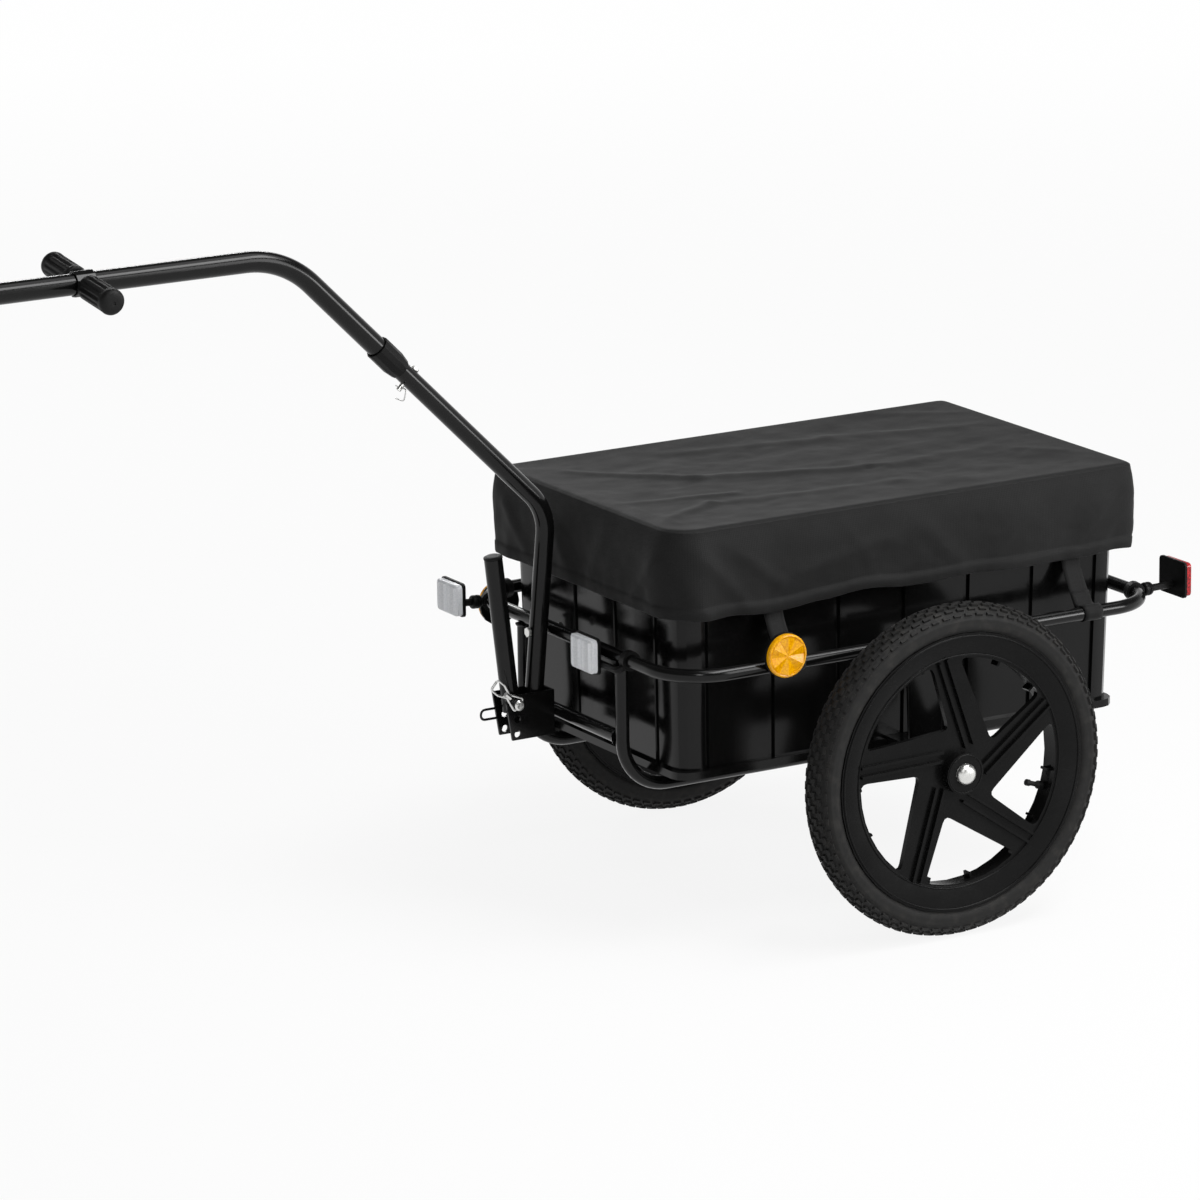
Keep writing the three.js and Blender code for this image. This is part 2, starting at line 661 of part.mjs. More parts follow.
// One window: the leading edge of a spoke, the arc of the rim and the next spoke's trailing edge.
function windowOutline(index) {
  const radius = RIM_INNER_RADIUS - WINDOW_INSET;
  const first = spokeLines(index).leadEdge;
  const second = spokeLines((index + 1) % SPOKE_COUNT).trailEdge;
  const corners = [crossing(first, second), rimCrossing(first, radius),
    rimCrossing(second, radius)];
  const sweepFrom = Math.atan2(corners[1].y, corners[1].x);
  const fillet = WINDOW_FILLET / radius;
  const sweepTo = sweepFrom + ((Math.atan2(corners[2].y, corners[2].x) - sweepFrom)
    % TURN + TURN) % TURN;
  const toward = (from, to) => from.clone().addScaledVector(
    to.clone().sub(from).normalize(), WINDOW_FILLET);
  const arc = Array.from({ length: WINDOW_ARC_STEPS + 1 }, (unused, i) => {
    const angle = THREE.MathUtils.lerp(sweepFrom + fillet, sweepTo - fillet,
      i / WINDOW_ARC_STEPS);
    return flat(Math.cos(angle), Math.sin(angle)).multiplyScalar(radius);
  });
  const rounded = (from, corner, to) => FILLET_SHARES.map(share =>
    from.clone().lerp(corner, share).lerp(corner.clone().lerp(to, share), share));
  const [hub, leading, trailing] = corners;
  return [
    toward(hub, trailing), ...rounded(toward(hub, trailing), hub, toward(hub, leading)),
    toward(hub, leading), toward(leading, hub),
    ...rounded(toward(leading, hub), leading, arc[0]), ...arc,
    ...rounded(arc.at(-1), trailing, toward(trailing, hub)), toward(trailing, hub),
  ];
}

const WEB_OUTER = RIM_HALF_WIDTH - WEB_SETBACK;
const GUSSET_PLACE_SHARES = [0.14, 0.49];  // of the angle between two spokes
const HUB_CONE_SHARE = 1.1;                // of the hub's radius, at the cone's inner end
const HUB_CORE_SHARE = 0.9;


function ridges(index) {
  const { angle, ridge } = spokeLines(index);
  const reach = SPOKE_SPAN - HUB_RADIUS;
  return [LEFT, RIGHT].map(side =>
    box(reach, RIDGE_WIDTH, RIDGE_HEIGHT + WEB_THICKNESS / 2, HUB_RADIUS / 2,
      side * RIDGE_SPACING / 2, WEB_OUTER + RIDGE_HEIGHT / 2 - WEB_THICKNESS / 4)
      .rotateZ(radians(angle)).translate(ridge.x, ridge.y, 0));
}

function gussets(index) {
  const width = RIM_HALF_WIDTH + WEB_OUTER - WEB_THICKNESS;
  const middle = RIM_INNER_RADIUS + (GUSSET_ROOT - GUSSET_REACH) / 2;
  return GUSSET_PLACE_SHARES.map(share =>
    box(GUSSET_REACH + GUSSET_ROOT, GUSSET_THICKNESS, width / 2, middle, 0,
      WEB_OUTER - WEB_THICKNESS - width / 4)
      .rotateZ(radians(SPOKE_PHASE) + TURN * (index + share) / SPOKE_COUNT));
}

function wheelDisc() {
  const radius = (RIM_INNER_RADIUS + RIM_SEAT_RADIUS) / 2;
  const windows = Array.from({ length: SPOKE_COUNT }, (unused, i) => windowOutline(i));
  return raised(roundOutline(radius, WHEEL_SEGMENTS), WEB_THICKNESS,
    WEB_OUTER - WEB_THICKNESS, windows);
}

// The moulded wheel is drawn with its outer face toward +Z and then laid on its side.
function mouldedWheel(side) {
  const hub = ring(HUB_RADIUS, HUB_BORE, -HUB_HALF_LENGTH, HUB_HALF_LENGTH, HUB_SIDES)
    .rotateX(TURN / 4);
  const core = HUB_RADIUS * HUB_CORE_SHARE;
  const inEnd = -HUB_HALF_LENGTH / 2;
  const outEnd = WEB_OUTER - WEB_THICKNESS / 2;
  const flange = turned([[core, inEnd], [HUB_RADIUS * HUB_CONE_SHARE, inEnd],
    [HUB_FLANGE_RADIUS, outEnd], [core, outEnd], [core, inEnd]], HUB_SIDES).rotateX(TURN / 4);
  const ribs = Array.from({ length: SPOKE_COUNT }, (unused, i) => [...ridges(i), ...gussets(i)]);
  const bore = rod(HUB_BORE, 2 * HUB_HALF_LENGTH + OVERRUN, HUB_SIDES).rotateX(TURN / 4);
  const whole = joined(rimRing().rotateX(TURN / 4), wheelDisc(), flange, ...ribs.flat());
  const bored = joined(cut(whole, bore), hub);
  return outwardFrom(bored.rotateX(-TURN / 4).rotateY(TURN / 2).translate(0, TRACK_HALF, 0),
    side);
}

const VALVE_SHARES = [[0, 0], [1, 0], [1, 0.3], [0.6, 0.4], [0.6, 0.75], [0.8, 0.78], [0.8, 1],
  [0, 1]];

function valve(side) {
  const stem = turned(scaled(VALVE_SHARES, VALVE_RADIUS, VALVE_LENGTH), FRAME_SIDES);
  const inward = stem.rotateZ(-TURN / 4).translate(2 * GAP - RIM_INNER_RADIUS, 0, 0)
    .rotateY(radians(VALVE_ANGLE)).translate(0, TRACK_HALF - WEB_SETBACK, 0);
  return outwardFrom(inward, side);
}

// Tub: drafted, grooved walls with a rim, a floor and a flared foot

const FOOT_TOP = TUB_BOTTOM + FOOT_HEIGHT;
const FLOOR_TOP = FLOOR_BOTTOM + TUB_FLOOR;

const spaced = (count, pitch) =>
  Array.from({ length: count }, (unused, i) => (i - (count - 1) / 2) * pitch);

// A rounded rectangle, pushed in by an inset, whose straight sides carry grooves.
function groovedOutline(inset) {
  const halfX = TUB_HALF_LENGTH - inset;
  const halfY = TUB_HALF_WIDTH - inset;
  const half = (GROOVE_WIDTH + inset) / 2;
  const groove = at => [[at - half, 0], [at - half + GROOVE_SLOPE, GROOVE_DEPTH],
    [at + half - GROOVE_SLOPE, GROOVE_DEPTH], [at + half, 0]];
  const ends = spaced(END_GROOVE_COUNT, TUB_HALF_WIDTH * END_GROOVE_PITCH_SHARE);
  const sides = spaced(SIDE_GROOVE_COUNT, TUB_HALF_LENGTH * SIDE_GROOVE_PITCH_SHARE);
  const edges = [
    [sides, (run, deep) => flat(run, -halfY + deep)],
    [ends, (run, deep) => flat(halfX - deep, run)],
    [sides, (run, deep) => flat(-run, halfY - deep)],
    [ends, (run, deep) => flat(-halfX + deep, -run)],
  ];
  const arcs = roundedBox(halfX, halfY, TUB_CORNER - inset, TUB_CORNER_STEPS);
  const perCorner = TUB_CORNER_STEPS + 1;
  return edges.flatMap(([places, put], i) => [
    ...places.flatMap(groove).map(([run, deep]) => put(run, deep)),
    ...arcs.slice(i * perCorner, (i + 1) * perCorner),
  ]);
}

// A grooved prism whose walls lean in toward the tub's foot.
function draftedPrism(outline, from, to) {
  const geometry = prism(outline, to - from, from);
  const places = geometry.attributes.position;
  for (let i = 0; i < places.count; i++) {
    const lean = TUB_DRAFT * (TUB_TOP - places.getZ(i)) / (TUB_TOP - TUB_BOTTOM);
    places.setX(i, places.getX(i) * (1 - lean / TUB_HALF_LENGTH));
    places.setY(i, places.getY(i) * (1 - lean / TUB_HALF_WIDTH));
  }
  return geometry;
}

const plainPrism = (inset, from, to) => prism(roundedBox(TUB_HALF_LENGTH - inset,
  TUB_HALF_WIDTH - inset, TUB_CORNER - inset, TUB_CORNER_STEPS), to - from, from);

// The floor rests on the axle beam, which passes through slots in the foot.
function tub() {
  const body = joined(draftedPrism(groovedOutline(0), FOOT_TOP - OVERRUN, TUB_TOP),
    plainPrism(TUB_DRAFT - FOOT_FLARE, TUB_BOTTOM, FOOT_TOP),
    plainPrism(-TUB_RIM_WIDTH, TUB_TOP - TUB_RIM_HEIGHT, TUB_TOP),
    cut(plainPrism(-TUB_RIM_WIDTH, TUB_TOP - TUB_RIM_LIP, TUB_TOP),
      plainPrism(TUB_WALL - TUB_RIM_WIDTH, TUB_TOP - TUB_RIM_LIP - OVERRUN,
        TUB_TOP + OVERRUN)));
  const cavity = draftedPrism(groovedOutline(TUB_WALL), FLOOR_TOP, TUB_TOP + OVERRUN);
  const underside = plainPrism(TUB_DRAFT + GROOVE_DEPTH + TUB_WALL, TUB_BOTTOM - OVERRUN,
    FLOOR_BOTTOM);
  const slotHeight = FLOOR_BOTTOM - TUB_BOTTOM + OVERRUN;
  const slot = box(AXLE_BEAM_SIZE + 2 * GAP, 2 * LOOP_SIDE, slotHeight, -TUB_CENTRE_X, 0,
    FLOOR_BOTTOM - slotHeight / 2);
  return cut(body, cavity, underside, slot).translate(TUB_CENTRE_X, 0, 0);
}

// Fabric cover: a soft cap over the rim with hanging, folded sides

const COVER_SIDE_STEPS = 13;
const COVER_END_STEPS = 8;
const COVER_CORNER_STEPS = 3;
const COVER_CORNER = TUB_CORNER + TUB_RIM_WIDTH;
const COVER_CLEARANCE = 2 * GAP;
const TOP_RING_SHARES = [0.35, 0.65, 0.9];
const HANG_SHARES = [0, 0.3, 0.65, 1];

// Stations round the cover's edge.
function coverStations(halfX, halfY, corner) {
  const arcs = roundedBox(halfX, halfY, corner, COVER_CORNER_STEPS);
  const perCorner = COVER_CORNER_STEPS + 1;
  const runs = [COVER_END_STEPS, COVER_SIDE_STEPS, COVER_END_STEPS, COVER_SIDE_STEPS];
  return runs.flatMap((steps, i) => {
    const arc = arcs.slice(i * perCorner, (i + 1) * perCorner);
    const next = arcs[(i + 1) * perCorner % arcs.length];
    const run = Array.from({ length: steps - 1 }, (unused, k) =>
      arc.at(-1).clone().lerp(next, (k + 1) / steps));
    return [...arc, ...run];
  });
}

function outwardOf(stations) {
  return stations.map((here, i) => {
    const before = stations.at(i - 1);
    const after = stations[(i + 1) % stations.length];
    return flat(after.y - before.y, before.x - after.x).normalize();
  });
}

// How far a smooth bump of a given half-width reaches at a place.
const bump = (at, middle, halfWidth) => {
  const share = Math.min(1, Math.abs(at - middle) / halfWidth);
  return (1 + Math.cos(Math.PI * share)) / 2;
};

// Vertical folds of the hanging cloth: place and half-width in shares of the tub's half length
// or half width, and depth in shares of the deepest fold.
const SIDE_FOLD_SHARES = [[-0.93, 0.1, 1], [-0.7, 0.11, 0.67], [-0.39, 0.2, 0.42],
  [0.07, 0.26, 0.33], [0.49, 0.2, 0.5], [0.85, 0.13, 0.75]];
const END_FOLD_SHARES = [[-0.86, 0.16, 0.83], [-0.31, 0.26, 0.5], [0.31, 0.31, 0.42],
  [0.88, 0.18, 0.83]];
// The hem's rise above or fall below its mean, in the same way.
const HEM_SHARES = [[-0.88, 0.13, -0.4], [-0.62, 0.23, -1], [-0.2, 0.2, 1], [0.29, 0.23, 0.4],
  [0.94, 0.16, 0.6]];

const summed = (shares, at, reach, depth) => shares.reduce(
  (sum, [place, halfWidth, part]) => sum + depth * part * bump(at / reach, place, halfWidth), 0);

function coverSheet(inset) {
  const halfX = TUB_HALF_LENGTH + TUB_RIM_WIDTH + COVER_CLEARANCE + COVER_THICKNESS - inset;
  const halfY = TUB_HALF_WIDTH + TUB_RIM_WIDTH + COVER_CLEARANCE + COVER_THICKNESS - inset;
  const top = TUB_TOP + GAP + COVER_THICKNESS - inset;
  const fold = inset > 0 ? GAP : COVER_TOP_EDGE;
  const stations = coverStations(halfX, halfY, COVER_CORNER);
  const outward = outwardOf(stations);
  const moved = (p, i, out, z) => point(p.x + outward[i].x * out, p.y + outward[i].y * out, z);
  const outermost = TOP_RING_SHARES.at(-1);
  const sag = share => COVER_SAG * (1 - (share / outermost) ** 2);
  const rings = TOP_RING_SHARES.map(share => stations.map(p =>
    point(p.x * share, p.y * share, top - sag(share))));
  rings.push(stations.map((p, i) => moved(p, i, -fold, top)));
  for (const dropShare of HANG_SHARES) {
    rings.push(stations.map((p, i) => {
      const alongEnd = Math.abs(p.x) > halfX - COVER_CORNER / 2;
      const at = alongEnd ? p.y : p.x;
      const reach = alongEnd ? TUB_HALF_WIDTH : TUB_HALF_LENGTH;
      const hem = COVER_HEM_HEIGHT + summed(HEM_SHARES, at, reach, COVER_HEM_WAVE);
      const folds = COVER_FLARE
        + summed(alongEnd ? END_FOLD_SHARES : SIDE_FOLD_SHARES, at, reach, COVER_FOLD_DEPTH);
      return moved(p, i, folds * dropShare,
        THREE.MathUtils.lerp(top - fold, hem, dropShare));
    }));
  }
  return { crown: point(0, 0, top - sag(0)), rings };
}

function cover() {
  const outer = coverSheet(0);
  const inner = coverSheet(COVER_THICKNESS);
  const columns = outer.rings[0].length;
  const corners = [];
  const triangle = (a, b, c) => corners.push(a, b, c);
  const quad = (a, b, c, d) => { triangle(a, b, c); triangle(a, c, d); };
  for (let i = 0; i < columns; i++) {
    const next = (i + 1) % columns;
    triangle(outer.crown, outer.rings[0][i], outer.rings[0][next]);
    triangle(inner.crown, inner.rings[0][next], inner.rings[0][i]);
    for (let k = 1; k < outer.rings.length; k++) {
      quad(outer.rings[k - 1][i], outer.rings[k][i], outer.rings[k][next],
        outer.rings[k - 1][next]);
      quad(inner.rings[k - 1][next], inner.rings[k][next], inner.rings[k][i],
        inner.rings[k - 1][i]);
    }
    quad(outer.rings.at(-1)[i], inner.rings.at(-1)[i], inner.rings.at(-1)[next],
      outer.rings.at(-1)[next]);
  }
  const geometry = new THREE.BufferGeometry().setFromPoints(corners);
  geometry.computeVertexNormals();
  return geometry.translate(TUB_CENTRE_X, 0, 0);
}

// Cover straps: webbing that hangs inside the hem and loops round the side tubes

const STRAP_HANG_Y = TUB_HALF_WIDTH + TUB_RIM_WIDTH / 2 + STRAP_THICKNESS;
const STRAP_KINK = COVER_HEM_HEIGHT - STRAP_HEM_MARGIN;

// A bent strip's outline: its middle line set off to either side by half its thickness.
function stripOutline(middle, thickness) {
  const offset = sign => middle.map((here, i) => {
    const before = i > 0 ? here.clone().sub(middle[i - 1]).normalize() : null;
    const after = i < middle.length - 1 ? middle[i + 1].clone().sub(here).normalize() : null;
    const heading = (before ?? after).clone().add(after ?? before).normalize();
    const spread = heading.dot(after ?? before);
    return flat(here.x - sign * heading.y * thickness / 2 / spread,
      here.y + sign * heading.x * thickness / 2 / spread);
  });
  return [...offset(1), ...offset(-1).reverse()];
}

function strap(side, x) {
  const inner = LOOP_TUBE_RADIUS + GAP;
  const loop = ring(inner + STRAP_THICKNESS, inner, -STRAP_WIDTH / 2, STRAP_WIDTH / 2,
    STRAP_SIDES).rotateZ(TURN / 4).translate(0, -LOOP_HALF_WIDTH, LOOP_HEIGHT);
  const centre = flat(-LOOP_HALF_WIDTH, LOOP_HEIGHT);
  const kink = flat(-STRAP_HANG_Y, STRAP_KINK);
  const toTube = centre.clone().sub(kink);
  const offset = inner + STRAP_THICKNESS / 2;
  const swing = Math.asin(offset / toTube.length());
  const reach = Math.sqrt(toTube.lengthSq() - offset * offset);
  const foot = toTube.normalize().rotateAround(flat(0, 0), swing).multiplyScalar(reach)
    .add(kink);
  const strip = acrossX(stripOutline([flat(-STRAP_HANG_Y, STRAP_TOP), kink, foot],
    STRAP_THICKNESS), STRAP_WIDTH, -STRAP_WIDTH / 2);
  return onSide(joined(loop, strip), side).translate(x, 0, 0);
}

// Drawbar bracket: two plates and a web on the crossbar

const BRACKET_REAR = LOOP_FRONT - LOOP_TUBE_RADIUS - GAP;
const BRACKET_FRONT = BRACKET_REAR - BRACKET_LENGTH;
const PIN_X = BRACKET_FRONT + PIN_SETBACK;
const PLATE_OUTER = BRACKET_HALF_GAP + BRACKET_PLATE;

function drawbarBracket() {
  const outline = [flat(BRACKET_FRONT + BRACKET_RAKE, BRACKET_BOTTOM),
    flat(BRACKET_REAR, BRACKET_BOTTOM), flat(BRACKET_REAR, BRACKET_TOP),
    flat(BRACKET_FRONT, BRACKET_TOP)];
  const plate = from => acrossY(outline, BRACKET_PLATE, DRAWBAR_OFFSET + from);
  const height = BRACKET_TOP - BRACKET_BOTTOM;
  const web = box(BRACKET_PLATE, 2 * PLATE_OUTER, height, BRACKET_REAR - BRACKET_PLATE / 2,
    DRAWBAR_OFFSET, BRACKET_BOTTOM + height / 2);
  const holes = Array.from({ length: SPARE_HOLE_COUNT + 1 }, (unused, i) =>
    rod(PIN_RADIUS + PIN_CLEARANCE, 4 * PLATE_OUTER, PIN_SIDES)
      .translate(PIN_X, DRAWBAR_OFFSET, PIN_HEIGHT - i * HOLE_PITCH));
  return cut(joined(plate(-PLATE_OUTER), plate(BRACKET_HALF_GAP), web, tetherEye()), ...holes);
}

const EYE_BEND_SHARE = 0.45;          // of the eye's height

// A wire eye on the right-hand plate for the safety tether.
function tetherEye() {
  const y = DRAWBAR_OFFSET + PLATE_OUTER - EYE_WIRE / 2;
  const middle = (BRACKET_TOP + BRACKET_BOTTOM) / 2;
  const rear = BRACKET_FRONT + EYE_REACH;
  const front = BRACKET_FRONT - EYE_REACH;
  const corners = [point(rear, y, middle + EYE_HEIGHT / 2),
    point(front, y, middle + EYE_HEIGHT / 2), point(front, y, middle - EYE_HEIGHT / 2),
    point(rear, y, middle - EYE_HEIGHT / 2)];
  return tube(new BentRoute(corners, EYE_HEIGHT * EYE_BEND_SHARE, WIRE_BEND_STEPS), EYE_WIRE,
    WIRE_SIDES);
}

// Drawbar: lower tube, upper tube with a spigot, collar, pin and clip

const LEAN_RISE = Math.tan(radians(DRAWBAR_LEAN));
const UPRIGHT_AT_LOOP = LOOP_FRONT - LOOP_TUBE_RADIUS - GAP
  - DRAWBAR_LOWER_RADIUS / Math.cos(radians(DRAWBAR_LEAN));
const uprightX = z => UPRIGHT_AT_LOOP + (z - LOOP_HEIGHT) * LEAN_RISE;
const slopeDirection = point(-Math.cos(radians(DRAWBAR_SLOPE)), 0,
  Math.sin(radians(DRAWBAR_SLOPE)));
const slopeNormal = point(Math.sin(radians(DRAWBAR_SLOPE)), 0,
  Math.cos(radians(DRAWBAR_SLOPE)));
const knee = point(uprightX(DRAWBAR_KNEE_HEIGHT), DRAWBAR_OFFSET, DRAWBAR_KNEE_HEIGHT);
const slopeRun = (DRAWBAR_HEIGHT - DRAWBAR_KNEE_HEIGHT) / Math.sin(radians(DRAWBAR_SLOPE));
const split = knee.clone().addScaledVector(slopeDirection, slopeRun * DRAWBAR_SPLIT_SHARE);
const upperKnee = knee.clone().addScaledVector(slopeDirection, slopeRun);
const drawbarFront = point(upperKnee.x - DRAWBAR_LEVEL_RUN, DRAWBAR_OFFSET, DRAWBAR_HEIGHT);

const COLLAR_LOW_SHARE = 0.4;         // of the collar, below the split
const collarLowEnd = split.clone().addScaledVector(slopeDirection,
  -COLLAR_LENGTH * COLLAR_LOW_SHARE);
const splitPinAt = collarLowEnd.clone().addScaledVector(slopeDirection, -SPLIT_PIN_SETBACK);

// A rod, turned piece or cutter whose own Y axis is swung to a direction and moved to a point.
function aimed(geometry, direction, at) {
  const turn = new THREE.Quaternion().setFromUnitVectors(point(0, 1, 0), direction);
  return geometry.applyQuaternion(turn).translate(at.x, at.y, at.z);
}

const splitPinHole = () => aimed(
  rod(SPLIT_PIN_RADIUS + PIN_CLEARANCE, 4 * DRAWBAR_UPPER_RADIUS, PIN_SIDES),
  slopeNormal, splitPinAt);

function drawbarLower() {
  const route = new BentRoute([
    point(uprightX(DRAWBAR_FOOT_HEIGHT), DRAWBAR_OFFSET, DRAWBAR_FOOT_HEIGHT),
    knee, split.clone().addScaledVector(slopeDirection, -GAP),
  ], DRAWBAR_LOWER_BEND, DRAWBAR_BEND_STEPS);
  const boltHole = aimed(rod(LOOP_BOLT_RADIUS + PIN_CLEARANCE, 4 * DRAWBAR_LOWER_RADIUS,
    PIN_SIDES), point(1, 0, 0), point(uprightX(LOOP_HEIGHT), DRAWBAR_OFFSET, LOOP_HEIGHT));
  return cut(tube(route, DRAWBAR_LOWER_RADIUS, DRAWBAR_SIDES,
    DRAWBAR_LOWER_RADIUS - DRAWBAR_LOWER_WALL), boltHole, splitPinHole());
}

function drawbarUpper() {
  const route = new BentRoute([split, upperKnee, drawbarFront], DRAWBAR_UPPER_BEND,
    DRAWBAR_BEND_STEPS);
  const outer = tube(route, DRAWBAR_UPPER_RADIUS, DRAWBAR_SIDES, DRAWBAR_UPPER_BORE);
  const spigotEnd = split.clone().addScaledVector(slopeDirection, -DRAWBAR_SPIGOT_LENGTH);
  const spigotTop = split.clone().addScaledVector(slopeDirection, OVERRUN);
  const spigot = tube(straight(spigotEnd, spigotTop), DRAWBAR_SPIGOT_RADIUS, DRAWBAR_SIDES,
    DRAWBAR_UPPER_BORE);
  const socket = aimed(rod(TONGUE_PLUG_RADIUS + GAP, 2 * TONGUE_PLUG_LENGTH, DRAWBAR_SIDES),
    point(1, 0, 0), drawbarFront);
  return cut(joined(outer, spigot), splitPinHole(), socket);
}

function drawbarCollar() {
  const inner = aroundRound(DRAWBAR_UPPER_RADIUS + GAP, AXLE_SIDES);
  const lowInner = aroundRound(DRAWBAR_LOWER_RADIUS + GAP, AXLE_SIDES);
  const step = COLLAR_LENGTH * COLLAR_LOW_SHARE - GAP;
  const profile = [[lowInner, 0], [lowInner + COLLAR_WALL, 0], [COLLAR_RADIUS, COLLAR_TAPER],
    [COLLAR_RADIUS, COLLAR_LENGTH], [inner, COLLAR_LENGTH], [inner, step], [lowInner, step],
    [lowInner, 0]];
  return aimed(turned(profile, AXLE_SIDES), slopeDirection, collarLowEnd);
}

const PIN_HEAD_SHARES = [[1, 0], [0.8, 0.7], [0, 1]];

function drawbarPin() {
  const top = DRAWBAR_LOWER_RADIUS + GAP;
  const profile = [[0, -top - PIN_TAIL], [SPLIT_PIN_RADIUS, -top - PIN_TAIL],
    [SPLIT_PIN_RADIUS, top], ...scaled(PIN_HEAD_SHARES, PIN_HEAD_RADIUS, PIN_HEAD_HEIGHT, top)];
  const pin = aimed(turned(profile, PIN_SIDES), slopeNormal, splitPinAt);
  const hole = aimed(rod(CLIP_WIRE + GAP, 4 * PIN_HEAD_RADIUS, BORE_SIDES), point(0, 1, 0),
    clipAt);
  return cut(pin, hole);
}

const clipAt = splitPinAt.clone().addScaledVector(slopeNormal,
  -(DRAWBAR_LOWER_RADIUS + PIN_TAIL / 2));

const CLIP_FALL_SHARE = 0.6;          // of the clip's leg
const CLIP_BEND_SHARE = 0.9;          // of the clip's half width

// The hairpin clip's straight leg runs through the pin's cross hole and its loop hangs beside it.
function rClip() {
  const near = clipAt.y - SPLIT_PIN_RADIUS;
  const beside = clipAt.x - CLIP_HALF_WIDTH;
  const below = clipAt.z - CLIP_LEG * CLIP_FALL_SHARE;
  const corners = [clipAt.clone().setY(clipAt.y + CLIP_LEG / 2),
    clipAt.clone().setY(near - CLIP_LEG / 2), point(beside, near - CLIP_LEG / 2, below),
    point(beside, near + CLIP_LEG / 3, below)];
  return tube(new BentRoute(corners, CLIP_HALF_WIDTH * CLIP_BEND_SHARE, WIRE_BEND_STEPS),
    CLIP_WIRE, WIRE_SIDES);
}

// The hex bolt that fastens the drawbar to the loop, with its nut at the rear.
function loopBolt() {
  const front = UPRIGHT_AT_LOOP - DRAWBAR_LOWER_RADIUS / Math.cos(radians(DRAWBAR_LEAN))
    - 2 * GAP;
  const rear = LOOP_FRONT + LOOP_TUBE_RADIUS + GAP;
  const shank = aimed(rod(LOOP_BOLT_RADIUS, rear - front + BOLT_HEAD_HEIGHT, PIN_SIDES),
    point(1, 0, 0), point((rear + front) / 2, DRAWBAR_OFFSET, LOOP_HEIGHT));
  const head = at => aimed(rod(2 * LOOP_BOLT_RADIUS, BOLT_HEAD_HEIGHT, HEX), point(1, 0, 0),
    point(at, DRAWBAR_OFFSET, LOOP_HEIGHT));
  return joined(shank, head(front - BOLT_HEAD_HEIGHT / 2), head(rear + BOLT_HEAD_HEIGHT / 2));
}

// Parking leg with its end cap, hinged on the lock pin

const legDirection = point(-Math.sin(radians(LEG_LEAN)), 0, Math.cos(radians(LEG_LEAN)));
const hinge = point(PIN_X, DRAWBAR_OFFSET, PIN_HEIGHT);

function legTube() {
  const from = hinge.clone().addScaledVector(legDirection, -LEG_TAIL);
  const to = hinge.clone().addScaledVector(legDirection, LEG_LENGTH);
  const bore = rod(PIN_RADIUS + PIN_CLEARANCE, 4 * LEG_RADIUS, PIN_SIDES)
    .translate(hinge.x, hinge.y, hinge.z);
  return cut(tube(straight(from, to), LEG_RADIUS, LEG_SIDES, LEG_RADIUS - LEG_WALL), bore);
}

const CAP_SHARES = [[1, 0.6], [0.7, 1], [0, 1]];

function legCap() {
  const plug = LEG_RADIUS - LEG_WALL - GAP;
  const profile = [[0, -CAP_PLUG], [plug, -CAP_PLUG], [plug, GAP], [LEG_RADIUS + GAP, GAP],
    ...scaled(CAP_SHARES, LEG_RADIUS + GAP, CAP_HEIGHT)];
  return aimed(turned(profile, LEG_SIDES), legDirection,
    hinge.clone().addScaledVector(legDirection, LEG_LENGTH));
}

const headCentre = point(PIN_X, DRAWBAR_OFFSET - PLATE_OUTER - GAP - LOCK_HEAD_LENGTH / 2,
  PIN_HEIGHT);

const LOCK_HEAD_SHARES = [[0, 0], [0.7, 0], [1, 0.3], [1, 1]];

function lockPin() {
  const headIn = -PLATE_OUTER - GAP;
  const tip = PLATE_OUTER + LOCK_TIP;
  const head = scaled(LOCK_HEAD_SHARES, LOCK_HEAD_RADIUS, LOCK_HEAD_LENGTH,
    headIn - LOCK_HEAD_LENGTH);
  const profile = [...head, [PIN_RADIUS, headIn], [PIN_RADIUS, tip - PIN_RADIUS / 2],
    [PIN_RADIUS / 2, tip], [0, tip]];
  const pin = turned(profile, PIN_SIDES).translate(hinge.x, hinge.y, hinge.z);
  const cross = rod(BAIL_WIRE + GAP, 4 * LOCK_HEAD_RADIUS, BORE_SIDES);
  return cut(pin, aimed(cross, bailAxis, headCentre));
}

const bailReach = point(-Math.cos(radians(BAIL_ANGLE)), 0, Math.sin(radians(BAIL_ANGLE)));
const bailAxis = point(Math.sin(radians(BAIL_ANGLE)), 0, Math.cos(radians(BAIL_ANGLE)));

const BAIL_END_SHARE = 0.05;          // of the span between its ends
const BAIL_WAIST_SHARE = 0.35;        // of its half width
const BAIL_SLEEVE_SHARE = 0.45;       // of its length
const BAIL_SHOULDER_SHARE = 0.72;
const BAIL_BEND_SHARE = 1.6;          // of the wire's radius
const SLEEVE_LENGTH_SHARE = 0.2;

